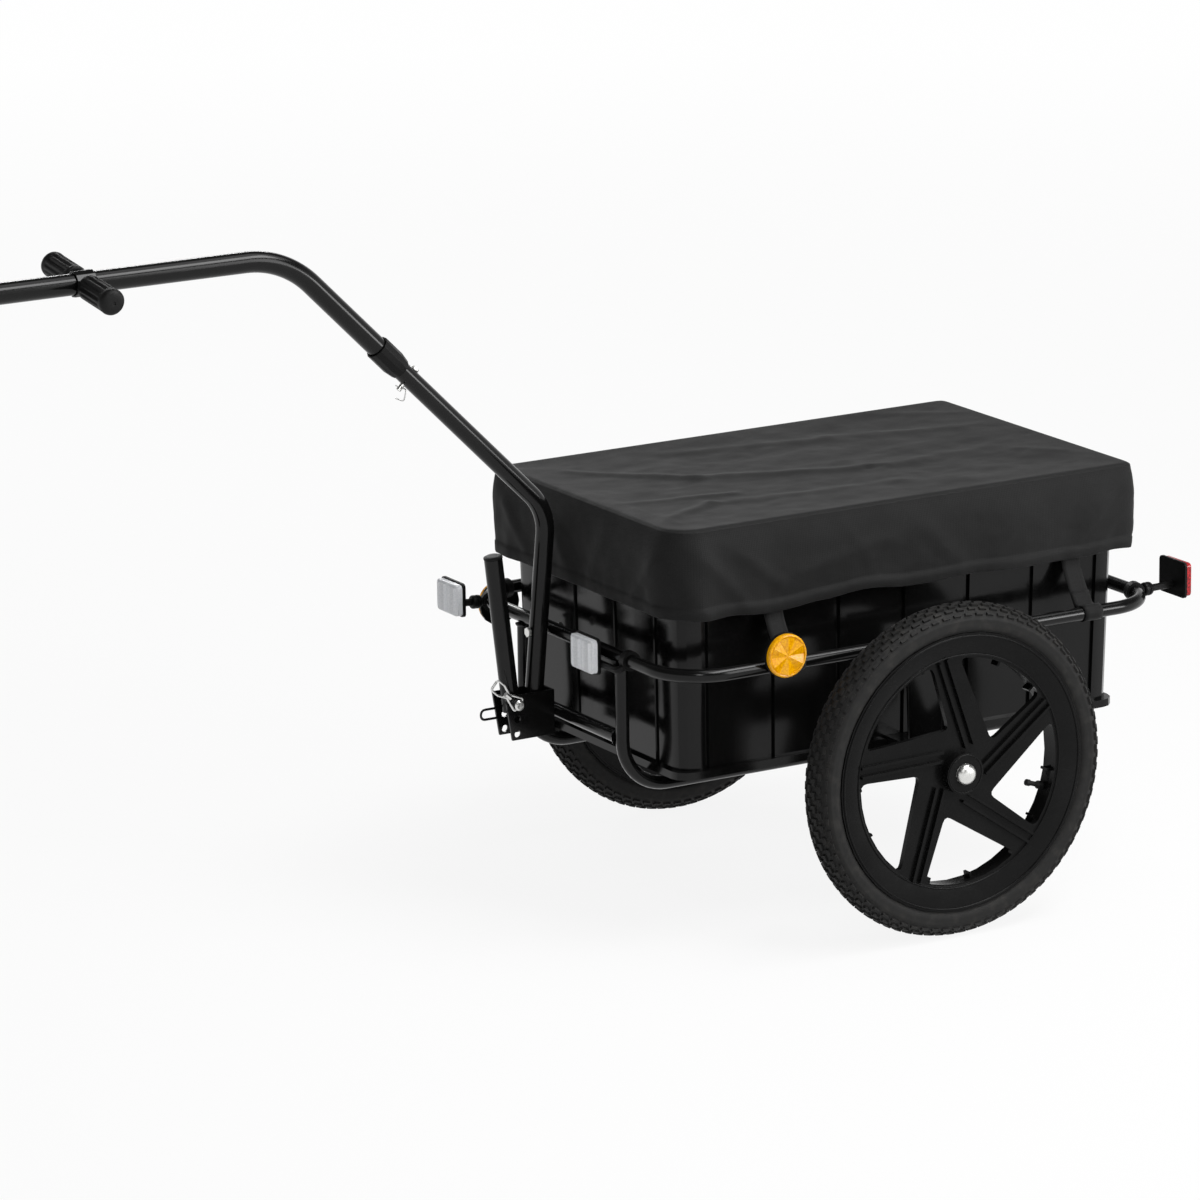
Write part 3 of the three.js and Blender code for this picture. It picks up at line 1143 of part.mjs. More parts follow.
// The wire bail: its ends meet inside the pin head and a crimped sleeve joins its two legs.
function pinBail() {
  const wide = LOCK_HEAD_RADIUS + 2 * BAIL_WIRE;
  const half = [at => at(wide * BAIL_END_SHARE, 0), at => at(wide, 0),
    at => at(BAIL_HALF_WIDTH * BAIL_WAIST_SHARE, BAIL_LENGTH * BAIL_SLEEVE_SHARE),
    at => at(BAIL_HALF_WIDTH, BAIL_LENGTH * BAIL_SHOULDER_SHARE),
    at => at(BAIL_HALF_WIDTH, BAIL_LENGTH)];
  const spot = (aside, out) => headCentre.clone().addScaledVector(bailAxis, aside)
    .addScaledVector(bailReach, out);
  const upper = half.map(corner => corner(spot));
  const lower = half.map(corner => corner((aside, out) => spot(-aside, out))).reverse();
  const wire = tube(new BentRoute([...upper, ...lower], BAIL_WIRE * BAIL_BEND_SHARE,
    BAIL_BEND_STEPS), BAIL_WIRE, WIRE_SIDES);
  const sleeve = aimed(rod(SLEEVE_RADIUS, BAIL_LENGTH * SLEEVE_LENGTH_SHARE, BORE_SIDES),
    bailReach, spot(0, BAIL_LENGTH * BAIL_SLEEVE_SHARE));
  return joined(wire, sleeve);
}

// Cross handle with two fluted grips

const handleAt = point(upperKnee.x - HANDLE_SETBACK, DRAWBAR_OFFSET, DRAWBAR_HEIGHT);
const handleTurned = geometry => geometry.rotateX(radians(HANDLE_TILT))
  .translate(handleAt.x, handleAt.y, handleAt.z);

function handleBar() {
  const length = 2 * (HANDLE_HALF_LENGTH - GRIP_END);
  const bar = rod(HANDLE_BAR_RADIUS, length, HANDLE_SIDES);
  const bore = aroundRound(DRAWBAR_UPPER_RADIUS + GAP, DRAWBAR_SIDES);
  const sleeve = ring(HANDLE_SLEEVE_RADIUS, bore, -HANDLE_SLEEVE_HALF, HANDLE_SLEEVE_HALF,
    DRAWBAR_SIDES).rotateZ(TURN / 4);
  const through = rod(bore, 4 * HANDLE_SLEEVE_RADIUS, DRAWBAR_SIDES).rotateZ(TURN / 4);
  return handleTurned(joined(cut(bar, through), sleeve));
}

const GRIP_DOME_SHARES = [[0, 0], [0.9, 0], [1, 0.3], [0.85, 0.8], [0.3, 1], [0, 1]];

function grip(side) {
  const flutes = Array.from({ length: 2 * GRIP_FLUTES }, (unused, i) => {
    const angle = TURN * i / (2 * GRIP_FLUTES);
    const radius = GRIP_RADIUS - (i % 2 === 0 ? GRIP_FLUTE_DEPTH : 0);
    return flat(radius * Math.cos(angle), radius * Math.sin(angle));
  });
  const end = GRIP_LENGTH - GRIP_DOME;
  const body = raised(flutes, end, 0).rotateX(-TURN / 4);
  const dome = turned(scaled(GRIP_DOME_SHARES, GRIP_RADIUS, GRIP_DOME), HANDLE_SIDES)
    .translate(0, end - GAP, 0);
  const bore = rod(HANDLE_BAR_RADIUS + GAP, 2 * (GRIP_LENGTH - GRIP_END + GAP), HANDLE_SIDES);
  const made = cut(joined(body, dome), bore)
    .translate(0, HANDLE_HALF_LENGTH - GRIP_LENGTH, 0);
  return handleTurned(side === RIGHT ? made : made.rotateZ(TURN / 2));
}

// Seat-post hitch: tongue, knuckle, king pin and split clamp

const pitchAt = point(drawbarFront.x - KNUCKLE_WIDTH, DRAWBAR_OFFSET, DRAWBAR_HEIGHT);
const yawAt = point(pitchAt.x - PITCH_TO_YAW, DRAWBAR_OFFSET, DRAWBAR_HEIGHT);
const postAt = point(yawAt.x - YAW_TO_POST, DRAWBAR_OFFSET, DRAWBAR_HEIGHT);

// A lug's outline: a half round about the origin and a straight part that reaches along X.
function eyeOutline(radius, reach) {
  const arc = Array.from({ length: EYE_STEPS + 1 }, (unused, i) => {
    const angle = TURN / 4 + TURN / 2 * i / EYE_STEPS;
    return flat(radius * Math.cos(angle), radius * Math.sin(angle));
  });
  return [...arc, flat(reach, -radius), flat(reach, radius)];
}

const pinHole = () => roundOutline(HITCH_PIN_RADIUS + PIN_CLEARANCE, PIN_SIDES);

function hitchTongue() {
  const radius = KNUCKLE_HEIGHT / 2;
  const outline = eyeOutline(radius, drawbarFront.x - pitchAt.x - GAP);
  const eye = acrossY(outline, TONGUE_WIDTH, -TONGUE_WIDTH / 2,
    [pinHole()]);
  const flangeX = drawbarFront.x - pitchAt.x - GAP - TONGUE_FLANGE / 2;
  const flange = rod(DRAWBAR_UPPER_RADIUS, TONGUE_FLANGE, DRAWBAR_SIDES).rotateZ(TURN / 4)
    .translate(flangeX, 0, 0);
  const plug = rod(TONGUE_PLUG_RADIUS, TONGUE_PLUG_LENGTH, DRAWBAR_SIDES).rotateZ(TURN / 4)
    .translate(flangeX + TONGUE_PLUG_LENGTH / 2, 0, 0);
  return joined(eye, flange, plug).translate(pitchAt.x, pitchAt.y, pitchAt.z);
}

const NECK_SHARE = 0.8;               // of the knuckle's width

function hitchKnuckle() {
  const half = KNUCKLE_WIDTH / 2;
  const reach = PITCH_TO_YAW;
  const cheeks = acrossY(eyeOutline(KNUCKLE_HEIGHT / 2, reach / 2), KNUCKLE_WIDTH, -half)
    .rotateZ(TURN / 2);
  const barrel = rod(half, KNUCKLE_HEIGHT, HITCH_SIDES).rotateX(TURN / 4)
    .translate(-reach, 0, 0);
  const neck = box(reach, KNUCKLE_WIDTH * NECK_SHARE, KNUCKLE_HEIGHT, -reach / 2, 0, 0);
  const slot = box(2 * KNUCKLE_HEIGHT, TONGUE_WIDTH + 2 * GAP, 2 * KNUCKLE_HEIGHT,
    KNUCKLE_HEIGHT / 2 - 2 * GAP, 0, 0);
  const pitchHole = rod(HITCH_PIN_RADIUS + PIN_CLEARANCE, 2 * KNUCKLE_WIDTH, PIN_SIDES);
  const yawHole = rod(HITCH_PIN_RADIUS + PIN_CLEARANCE, 2 * KNUCKLE_HEIGHT, PIN_SIDES)
    .rotateX(TURN / 4).translate(-reach, 0, 0);
  return cut(joined(cheeks, neck, barrel), slot, pitchHole, yawHole)
    .translate(pitchAt.x, pitchAt.y, pitchAt.z);
}

const PIN_FLANGE_SHARE = 1.6;         // of the pin's radius

function hitchPin(length, direction, at) {
  const half = length / 2 + GAP;
  const head = HITCH_PIN_RADIUS * PIN_FLANGE_SHARE;
  const profile = [[0, -half - HITCH_PIN_RADIUS], [head, -half - HITCH_PIN_RADIUS],
    [head, -half], [HITCH_PIN_RADIUS, -half], [HITCH_PIN_RADIUS, half], [head, half],
    [head, half + HITCH_PIN_RADIUS], [0, half + HITCH_PIN_RADIUS]];
  return aimed(turned(profile, PIN_SIDES), direction, at);
}

// Half of the split clamp, drawn about the seat post with +X toward the trailer.
function clampHalf(facing) {
  const outer = POST_RADIUS + CLAMP_WALL;
  const span = outer + EAR_WIDTH;
  const body = rod(outer, CLAMP_HEIGHT, HITCH_SIDES * 2).rotateX(TURN / 4);
  const ears = box(2 * EAR_THICKNESS, 2 * span, CLAMP_HEIGHT, 0, 0, 0);
  const bore = rod(POST_RADIUS, 2 * CLAMP_HEIGHT, HITCH_SIDES * 2).rotateX(TURN / 4);
  const away = box(2 * span, 4 * span, 2 * CLAMP_HEIGHT,
    -facing * (span - CLAMP_SPLIT / 2), 0, 0);
  const boltHoles = [LEFT, RIGHT].map(side =>
    rod(CLAMP_BOLT_RADIUS + PIN_CLEARANCE, 8 * EAR_THICKNESS, PIN_SIDES).rotateZ(TURN / 4)
      .translate(0, side * (outer + EAR_WIDTH / 2), 0));
  return cut(joined(body, ears), bore, away, ...boltHoles);
}

// The rear half carries two lugs that hold the king pin above and below the knuckle.
function clampRear() {
  const lugRadius = KNUCKLE_WIDTH / 2;
  const reach = YAW_TO_POST - POST_RADIUS - CLAMP_WALL / 2;
  const outline = eyeOutline(lugRadius, reach).map(p => flat(-p.x, p.y));
  const lug = from => raised(outline.slice().reverse(), LUG_THICKNESS, from,
    [pinHole()]).translate(YAW_TO_POST, 0, 0);
  const top = KNUCKLE_HEIGHT / 2 + GAP;
  return joined(clampHalf(1), lug(top), lug(-top - LUG_THICKNESS))
    .translate(postAt.x, postAt.y, postAt.z);
}

const clampFront = () => clampHalf(-1).translate(postAt.x, postAt.y, postAt.z);

const HEX_SHARE = 1.6;                // of the bolt's radius

function clampBolt(side) {
  const half = EAR_THICKNESS + GAP;
  const head = CLAMP_BOLT_RADIUS * HEX_SHARE;
  const profile = [[0, -half - head], [head, -half - head], [head, -half],
    [CLAMP_BOLT_RADIUS, -half], [CLAMP_BOLT_RADIUS, half], [head, half],
    [head, half + head], [0, half + head]];
  const y = side * (POST_RADIUS + CLAMP_WALL + EAR_WIDTH / 2);
  return aimed(turned(profile, HEX), point(1, 0, 0), postAt.clone().add(point(0, y, 0)));
}

// Reflectors: a lens in a holder on a stem, clipped to the loop

// A spot on the loop's round corner, at a heading in degrees about the corner's centre.
function cornerSpot(cornerX, cornerY, heading) {
  return {
    x: cornerX - Math.sign(cornerX) * LOOP_CORNER + LOOP_CORNER * Math.cos(radians(heading)),
    y: cornerY - Math.sign(cornerY) * LOOP_CORNER + LOOP_CORNER * Math.sin(radians(heading)),
    tangent: heading,
  };
}

// What a holder's clip and plate leave free for the loop's tube.
function loopClearance() {
  const half = loopHalf(LOOP_TUBE_RADIUS + GAP);
  return joined(half, mirroredAcross(half));
}

const atLens = (geometry, { facing, lens }) =>
  geometry.rotateZ(radians(facing)).translate(lens.x, lens.y, lens.z);

function holderOf(spot, plate) {
  const outer = LOOP_TUBE_RADIUS + GAP + CLIP_WALL;
  const clip = rod(outer, CLIP_WIDTH, CLIP_SIDES).rotateZ(radians(spot.tangent))
    .translate(spot.x, spot.y, LOOP_HEIGHT);
  const into = spot.elbow ? HOLDER_THICKNESS / 2 - STEM_RADIUS : HOLDER_THICKNESS / 2;
  const back = point(into, 0, spot.stemDrop)
    .applyAxisAngle(point(0, 0, 1), radians(spot.facing)).add(spot.lens);
  const corners = [point(spot.x, spot.y, LOOP_HEIGHT), spot.elbow, back].filter(Boolean);
  const stem = tube(new BentRoute(corners, STEM_BEND, WIRE_BEND_STEPS), STEM_RADIUS,
    FRAME_SIDES);
  return cut(joined(atLens(plate, spot), clip, stem), loopClearance());
}

const platePanel = ({ width, height }, margin, thickness, from) =>
  acrossX(roundedBox(width / 2 + margin, height / 2 + margin, LENS_CORNER, REFLECTOR_STEPS),
    thickness, from);

const blockHolder = spot => holderOf(spot, platePanel(spot, HOLDER_MARGIN, HOLDER_THICKNESS, 0));

const blockLens = spot =>
  atLens(platePanel(spot, 0, LENS_THICKNESS, HOLDER_THICKNESS + GAP), spot);

const roundHolder = spot => holderOf(spot,
  rod(ROUND_LENS_RADIUS + HOLDER_MARGIN, HOLDER_THICKNESS, CLIP_SIDES).rotateZ(TURN / 4)
    .translate(HOLDER_THICKNESS / 2, 0, 0));

const ROUND_LENS_SHARES = [[0, 0], [1, 0], [1, 0.6], [0.88, 1], [0, 1]];

function roundLens(spot) {
  const profile = scaled(ROUND_LENS_SHARES, ROUND_LENS_RADIUS, LENS_THICKNESS);
  return atLens(turned(profile, CLIP_SIDES).rotateZ(-TURN / 4)
    .translate(HOLDER_THICKNESS + GAP, 0, 0), spot);
}

const SIDE_LENS_REACH = ROUND_LENS_REACH + LOOP_HALF_WIDTH;
const AMBER_LEFT_X = alongTub(STRAP_PLACE_SHARES.front) - AMBER_LEFT_LEAD;

// Each reflector's spot on the loop, heading in degrees, and the middle of its holder's back.
const BLOCK_REFLECTORS = {
  white_left: {
    x: LOOP_FRONT, y: WHITE_LEFT_CLIP_Y, tangent: 0, facing: 180, stemDrop: -STEM_DROP,
    elbow: point(LOOP_FRONT - WHITE_LEFT_STEM_REACH, WHITE_LEFT_CLIP_Y,
      LOOP_HEIGHT - WHITE_LEFT_DROP - STEM_DROP),
    lens: point(LOOP_FRONT - WHITE_LEFT_STEM_REACH - STEM_RADIUS + HOLDER_THICKNESS / 2,
      WHITE_LEFT_Y, LOOP_HEIGHT - WHITE_LEFT_DROP),
    width: LENS_WIDTH, height: WHITE_LEFT_TALL,
  },
  white_right: {
    ...cornerSpot(LOOP_FRONT, LOOP_HALF_WIDTH, WHITE_RIGHT_HEADING), facing: 180,
    stemDrop: -STEM_DROP, width: LENS_WIDTH, height: LENS_HEIGHT,
    lens: point(LOOP_FRONT - WHITE_RIGHT_REACH, LOOP_HALF_WIDTH - WHITE_RIGHT_INSET,
      LOOP_HEIGHT + WHITE_RIGHT_RISE),
  },
  red_rear: {
    ...cornerSpot(LOOP_REAR, -LOOP_HALF_WIDTH, RED_HEADING), facing: 0,
    stemDrop: -STEM_DROP, width: LENS_WIDTH, height: RED_TALL,
    lens: point(LOOP_REAR + RED_REACH, RED_INSET - LOOP_HALF_WIDTH, LOOP_HEIGHT + RED_RISE),
  },
};
const ROUND_REFLECTORS = {
  amber_left: {
    x: AMBER_LEFT_X, y: -LOOP_HALF_WIDTH, tangent: 90, facing: -90, stemDrop: -AMBER_LEFT_RISE,
    lens: point(AMBER_LEFT_X, -SIDE_LENS_REACH, LOOP_HEIGHT + AMBER_LEFT_RISE),
  },
  amber_right: {
    ...cornerSpot(LOOP_FRONT, LOOP_HALF_WIDTH, AMBER_RIGHT_HEADING), facing: 90,
    stemDrop: AMBER_RIGHT_DROP,
    lens: point(LOOP_FRONT + AMBER_RIGHT_SETBACK, SIDE_LENS_REACH, LOOP_HEIGHT - AMBER_RIGHT_DROP),
  },
};
const BLOCK_LENS_COLOURS = {
  white_left: MATERIALS.clear, white_right: MATERIALS.clear, red_rear: MATERIALS.red,
};

function placeReflectors() {
  for (const [name, spot] of Object.entries(BLOCK_REFLECTORS)) {
    place(`${name}_reflector_holder`, blockHolder(spot), MATERIALS.plastic);
    place(`${name}_reflector_lens`, blockLens(spot), BLOCK_LENS_COLOURS[name]);
  }
  for (const [name, spot] of Object.entries(ROUND_REFLECTORS)) {
    place(`${name}_reflector_holder`, roundHolder(spot), MATERIALS.plastic);
    place(`${name}_reflector_lens`, roundLens(spot), MATERIALS.amber);
  }
}

// Assembly

const SIDES = { left: LEFT, right: RIGHT };

place('frame_loop', frameLoop(), MATERIALS.paint);
place('front_crossbar', frontCrossbar(), MATERIALS.paint);
place('axle_beam', axleBeam(), MATERIALS.paint);

for (const [word, side] of Object.entries(SIDES)) {
  place(`cradle_${word}`, cradle(side), MATERIALS.paint);
  place(`axle_carrier_${word}`, carrier(side), MATERIALS.paint);
  place(`stub_axle_${word}`, stubAxle(side), MATERIALS.plainSteel);
  place(`dome_nut_${word}`, domeNut(side), MATERIALS.plainSteel);
  place(`tyre_${word}`, tyre(side), MATERIALS.rubber);
  place(`wheel_${word}`, mouldedWheel(side), MATERIALS.rim);
  place(`bearing_inner_${word}`, bearing(side, false), MATERIALS.plainSteel);
  place(`bearing_outer_${word}`, bearing(side, true), MATERIALS.plainSteel);
  place(`valve_${word}`, valve(side), MATERIALS.rubber);
  for (const [end, share] of Object.entries(STRAP_PLACE_SHARES)) {
    place(`strap_${end}_${word}`, strap(side, alongTub(share)), MATERIALS.webbing);
  }
  place(`handle_grip_${word}`, grip(side), MATERIALS.grip);
  place(`clamp_bolt_${word}`, clampBolt(side), MATERIALS.plainSteel);
}

place('tub', tub(), MATERIALS.tub);
place('cover', cover(), MATERIALS.cloth);

place('drawbar_bracket', drawbarBracket(), MATERIALS.paint);
place('drawbar_lower', drawbarLower(), MATERIALS.paint);
place('drawbar_upper', drawbarUpper(), MATERIALS.paint);
place('drawbar_collar', drawbarCollar(), MATERIALS.plastic);
place('drawbar_pin', drawbarPin(), MATERIALS.plainSteel);
place('drawbar_clip', rClip(), MATERIALS.wire);
place('loop_bolt', loopBolt(), MATERIALS.plainSteel);
place('leg_tube', legTube(), MATERIALS.paint);
place('leg_cap', legCap(), MATERIALS.plastic);
place('lock_pin', lockPin(), MATERIALS.plainSteel);
place('lock_pin_bail', pinBail(), MATERIALS.wire);
place('handle_bar', handleBar(), MATERIALS.paint);

place('hitch_tongue', hitchTongue(), MATERIALS.plastic);
place('hitch_knuckle', hitchKnuckle(), MATERIALS.paint);
place('pitch_bolt', hitchPin(KNUCKLE_WIDTH, point(0, 1, 0), pitchAt), MATERIALS.plainSteel);
place('king_pin', hitchPin(KNUCKLE_HEIGHT + 2 * (GAP + LUG_THICKNESS), point(0, 0, 1), yawAt),
  MATERIALS.plainSteel);
place('clamp_rear', clampRear(), MATERIALS.paint);
place('clamp_front', clampFront(), MATERIALS.paint);

placeReflectors();

// The origin is the bottom middle of the whole trailer's box
const FRONT_REACH = postAt.x - POST_RADIUS - CLAMP_WALL;
const REAR_REACH = LOOP_REAR + RED_REACH + HOLDER_THICKNESS + GAP + LENS_THICKNESS;
assembly.position.x = -(FRONT_REACH + REAR_REACH) / 2;

export default trailer;
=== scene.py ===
"""Looks of a two-wheel cargo trailer for a bicycle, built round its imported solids.

Lengths are metres in the solids' own frame: -X is the hitch end, -Y the left-hand side, +Z up.
"""

import json  # noqa: E402
import logging  # noqa: E402
import math  # noqa: E402
from abc import ABC, abstractmethod  # noqa: E402
from collections.abc import Iterable, Sequence  # noqa: E402
from dataclasses import dataclass  # noqa: E402
from enum import Enum  # noqa: E402
from typing import Protocol  # noqa: E402

import bmesh  # noqa: E402
import bpy  # noqa: E402
from mathutils import Matrix, Quaternion, Vector, noise  # noqa: E402

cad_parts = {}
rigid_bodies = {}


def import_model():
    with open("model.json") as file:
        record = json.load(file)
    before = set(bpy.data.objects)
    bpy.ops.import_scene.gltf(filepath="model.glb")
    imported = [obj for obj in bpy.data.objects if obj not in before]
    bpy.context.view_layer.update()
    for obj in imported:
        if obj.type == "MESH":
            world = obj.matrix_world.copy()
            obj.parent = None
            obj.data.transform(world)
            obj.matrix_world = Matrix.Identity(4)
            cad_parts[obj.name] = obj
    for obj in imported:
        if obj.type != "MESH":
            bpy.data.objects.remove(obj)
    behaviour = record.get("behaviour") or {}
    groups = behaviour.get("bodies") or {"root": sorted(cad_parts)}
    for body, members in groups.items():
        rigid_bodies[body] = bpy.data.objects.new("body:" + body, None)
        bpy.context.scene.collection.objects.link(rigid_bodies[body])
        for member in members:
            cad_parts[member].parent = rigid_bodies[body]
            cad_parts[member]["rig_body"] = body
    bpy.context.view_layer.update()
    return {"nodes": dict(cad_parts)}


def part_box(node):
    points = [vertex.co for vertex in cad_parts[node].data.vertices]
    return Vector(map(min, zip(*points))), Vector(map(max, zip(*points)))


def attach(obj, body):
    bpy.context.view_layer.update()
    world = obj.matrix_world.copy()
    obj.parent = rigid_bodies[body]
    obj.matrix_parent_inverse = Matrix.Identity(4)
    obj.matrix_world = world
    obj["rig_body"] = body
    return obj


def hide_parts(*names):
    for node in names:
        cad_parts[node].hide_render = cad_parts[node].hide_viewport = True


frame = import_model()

LOG = logging.getLogger("trailer")

MM = 0.001
TAU = 2 * math.pi
X_AXIS = Vector((1, 0, 0))
Y_AXIS = Vector((0, 1, 0))
Z_AXIS = Vector((0, 0, 1))

# Distances below which two points are one, in a turned or copied mesh and in a closed tube.
MERGE = 1e-6
CLOSING = 1e-4
# Degrees below which two faces of a copied solid are one flat face.
FLAT = 0.6
# How strongly large faces set the shading of a rounded solid, from 1 to 100.
EVENNESS = 80
# A weld bead's outline in millimetres, as (distance past the bar's skin, distance along it).
BEAD = ((-1, 0.2), (2.1, 0.2), (1.9, 1.6), (0.8, 3), (-1, 4), (-1, 0.2))
# Threads per metre that a wave texture draws at a scale of 1, with two threads to a wave.
THREADS_AT_ONE = 20 / math.pi

Colour = tuple[float, float, float]
Profile = Sequence[tuple[float, float]]
Wave = tuple[float, float, float]
Crease = tuple[float, float, float, float, float, float]
Fractal = tuple[float, float, int]


def middle(node: str) -> Vector:
    """The centre of a solid's box."""
    low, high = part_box(node)
    return (low + high) / 2


AXLE = Vector((middle("tyre_left").x, 0, middle("tyre_left").z))


def at(x: float, y: float, z: float) -> Vector:
    """A point given in millimetres from the ground point below the axle."""
    return Vector((AXLE.x + x * MM, y * MM, z * MM))


class Side(Enum):
    """The two sides of the trailer, by the sign of Y."""

    LEFT = -1
    RIGHT = 1

    @property
    def word(self) -> str:
        """The side's name in the solids' names."""
        return self.name.lower()


# Finishes


class Shader:
    """A material's node tree and the chains of nodes that several finishes share."""

    def __init__(self, name: str) -> None:
        """Start from one Principled shader.

        Args:
            name: The material's name.
        """
        self.material = bpy.data.materials.new(name)
        self.material.use_nodes = True
        self.tree = self.material.node_tree
        self.surface = self.tree.nodes["Principled BSDF"]
        coordinates = self.tree.nodes.new("ShaderNodeTexCoord")
        self.object_point = coordinates.outputs["Object"]
        self.uv_point = coordinates.outputs["UV"]

    def set(self, **values: float | tuple) -> None:
        """Set sockets of the Principled shader; underscores stand for spaces."""
        for key, value in values.items():
            self.surface.inputs[key.replace("_", " ")].default_value = value

    def link(self, source: bpy.types.NodeSocket, socket: str) -> None:
        """Join a chain's end to a socket of the Principled shader."""
        self.tree.links.new(source, self.surface.inputs[socket])

    def _feed(self, node: bpy.types.Node, socket: str | int, value: object) -> None:
        """Set a socket's value, or join another socket to it.

        Args:
            node: The node that has the socket.
            socket: The socket's name or number.
            value: A value, or the output of another node.
        """
        if isinstance(value, bpy.types.NodeSocket):
            self.tree.links.new(value, node.inputs[socket])
        else:
            node.inputs[socket].default_value = value

    def scaled(self, point: bpy.types.NodeSocket, scale: Sequence[float]) -> bpy.types.NodeSocket:
        """Stretch coordinates.

        Args:
            point: The coordinates.
            scale: Three factors.

        Returns:
            The stretched coordinates.
        """
        node = self.tree.nodes.new("ShaderNodeMapping")
        self._feed(node, "Vector", point)
        node.inputs["Scale"].default_value = tuple(scale)
        return node.outputs["Vector"]

    def noise(
        self, scale: float, detail: float = 3, point: bpy.types.NodeSocket | None = None
    ) -> bpy.types.NodeSocket:
        """Spread fractal noise over the object.

        Args:
            scale: Cells per metre.
            detail: Octaves.
            point: Coordinates, or the object's own if none are given.

        Returns:
            The noise.
        """
        node = self.tree.nodes.new("ShaderNodeTexNoise")
        self._feed(node, "Vector", point or self.object_point)
        node.inputs["Scale"].default_value = scale
        node.inputs["Detail"].default_value = detail
        return node.outputs["Fac"]

    def cells(self, scale: float) -> bpy.types.NodeSocket:
        """Scatter points over the object, for pebbled surfaces.

        Args:
            scale: Points per metre.

        Returns:
            The distance to the nearest point.
        """
        node = self.tree.nodes.new("ShaderNodeTexVoronoi")
        self._feed(node, "Vector", self.object_point)
        node.inputs["Scale"].default_value = scale
        return node.outputs["Distance"]

    def threads(self, count: float, axis: str) -> bpy.types.NodeSocket:
        """Lay parallel threads over the piece's own UV map.

        Args:
            count: Threads per metre.
            axis: The axis that they cross.

        Returns:
            The threads' height.
        """
        node = self.tree.nodes.new("ShaderNodeTexWave")
        node.bands_direction = axis
        self._feed(node, "Vector", self.uv_point)
        node.inputs["Scale"].default_value = count / THREADS_AT_ONE
        node.inputs["Detail"].default_value = 0
        return node.outputs["Fac"]

    def spread(
        self, value: bpy.types.NodeSocket, low: float, high: float, start: float = 0, end: float = 1
    ) -> bpy.types.NodeSocket:
        """Take a value from one range to another and hold it at the ends.

        Args:
            value: The value.
            low: The result at the range's start.
            high: The result at the range's end.
            start: Where the range starts.
            end: Where the range ends.

        Returns:
            The new value.
        """
        node = self.tree.nodes.new("ShaderNodeMapRange")
        self._feed(node, "Value", value)
        set_range(node, (start, end), (low, high))
        return node.outputs["Result"]

    def product(
        self, first: bpy.types.NodeSocket, second: bpy.types.NodeSocket
    ) -> bpy.types.NodeSocket:
        """Multiply two values.

        Args:
            first: The one value.
            second: The other value.

        Returns:
            Their product.
        """
        node = self.tree.nodes.new("ShaderNodeMath")
        node.operation = "MULTIPLY"
        self._feed(node, 0, first)
        self._feed(node, 1, second)
        return node.outputs["Value"]

    def blend(
        self,
        share: bpy.types.NodeSocket,
        first: Sequence[float] | bpy.types.NodeSocket,
        second: Sequence[float] | bpy.types.NodeSocket,
    ) -> bpy.types.NodeSocket:
        """Mix two colours.

        Args:
            share: How much of the second one shows.
            first: A colour, or the output of another node.
            second: A colour, or the output of another node.

        Returns:
            The mixed colour.
        """
        node = self.tree.nodes.new("ShaderNodeMix")
        node.data_type = "RGBA"
        self._feed(node, "Factor", share)
        for socket, value in (("A", first), ("B", second)):
            slot = next(s for s in node.inputs if s.name == socket and s.type == "RGBA")
            if isinstance(value, bpy.types.NodeSocket):
                self.tree.links.new(value, slot)
            else:
                slot.default_value = (*value[:3], 1)
        return next(s for s in node.outputs if s.type == "RGBA")

    def bump(
        self,
        height: bpy.types.NodeSocket,
        depth: float,
        under: bpy.types.NodeSocket | None = None,
    ) -> bpy.types.NodeSocket:
        """Emboss the surface.

        Args:
            height: The pattern, from 0 to 1.
            depth: How deep it is, in metres.
            under: Another bump that this one lies on.

        Returns:
            The new normal.
        """
        node = self.tree.nodes.new("ShaderNodeBump")
        node.inputs["Strength"].default_value = 1
        node.inputs["Distance"].default_value = depth
        self._feed(node, "Height", height)
        if under is not None:
            self._feed(node, "Normal", under)
        return node.outputs["Normal"]


def set_range(
    node: bpy.types.Node, source: tuple[float, float], result: tuple[float, float]
) -> None:
    """Set a Map Range node's two ranges.

    Args:
        node: The node.
        source: Start and end of the range that comes in.
        result: Start and end of the range that goes out.
    """
    for way, limits in (("From", source), ("To", result)):
        for end, number in zip(("Min", "Max"), limits):
            node.inputs[f"{way} {end}"].default_value = number


def grey(level: float) -> Colour:
    """A neutral colour."""
    return (level, level, level)


def shaded(colour: Colour, share: float, more: float = 0) -> Colour:
    """A colour times a share, with a level added to each channel."""
    return tuple(channel * share + more for channel in colour)


@dataclass(frozen=True)
class Finish(ABC):
    """A surface finish that knows its material slot in the record.

    Attributes:
        name: The material's name.
        slot: The record's slot.
        colour: Linear colour.
    """

    name: str
    slot: str
    colour: Colour

    def material(self) -> bpy.types.Material:
        """Find the finish's material, or make it at its first use.

        Returns:
            The material.
        """
        found = bpy.data.materials.get(self.name)
        if found is not None:
            return found
        shader = Shader(self.name)
        self.dress(shader)
        return shader.material

    @abstractmethod
    def dress(self, shader: Shader) -> None:
        """Fill in a shader's nodes."""


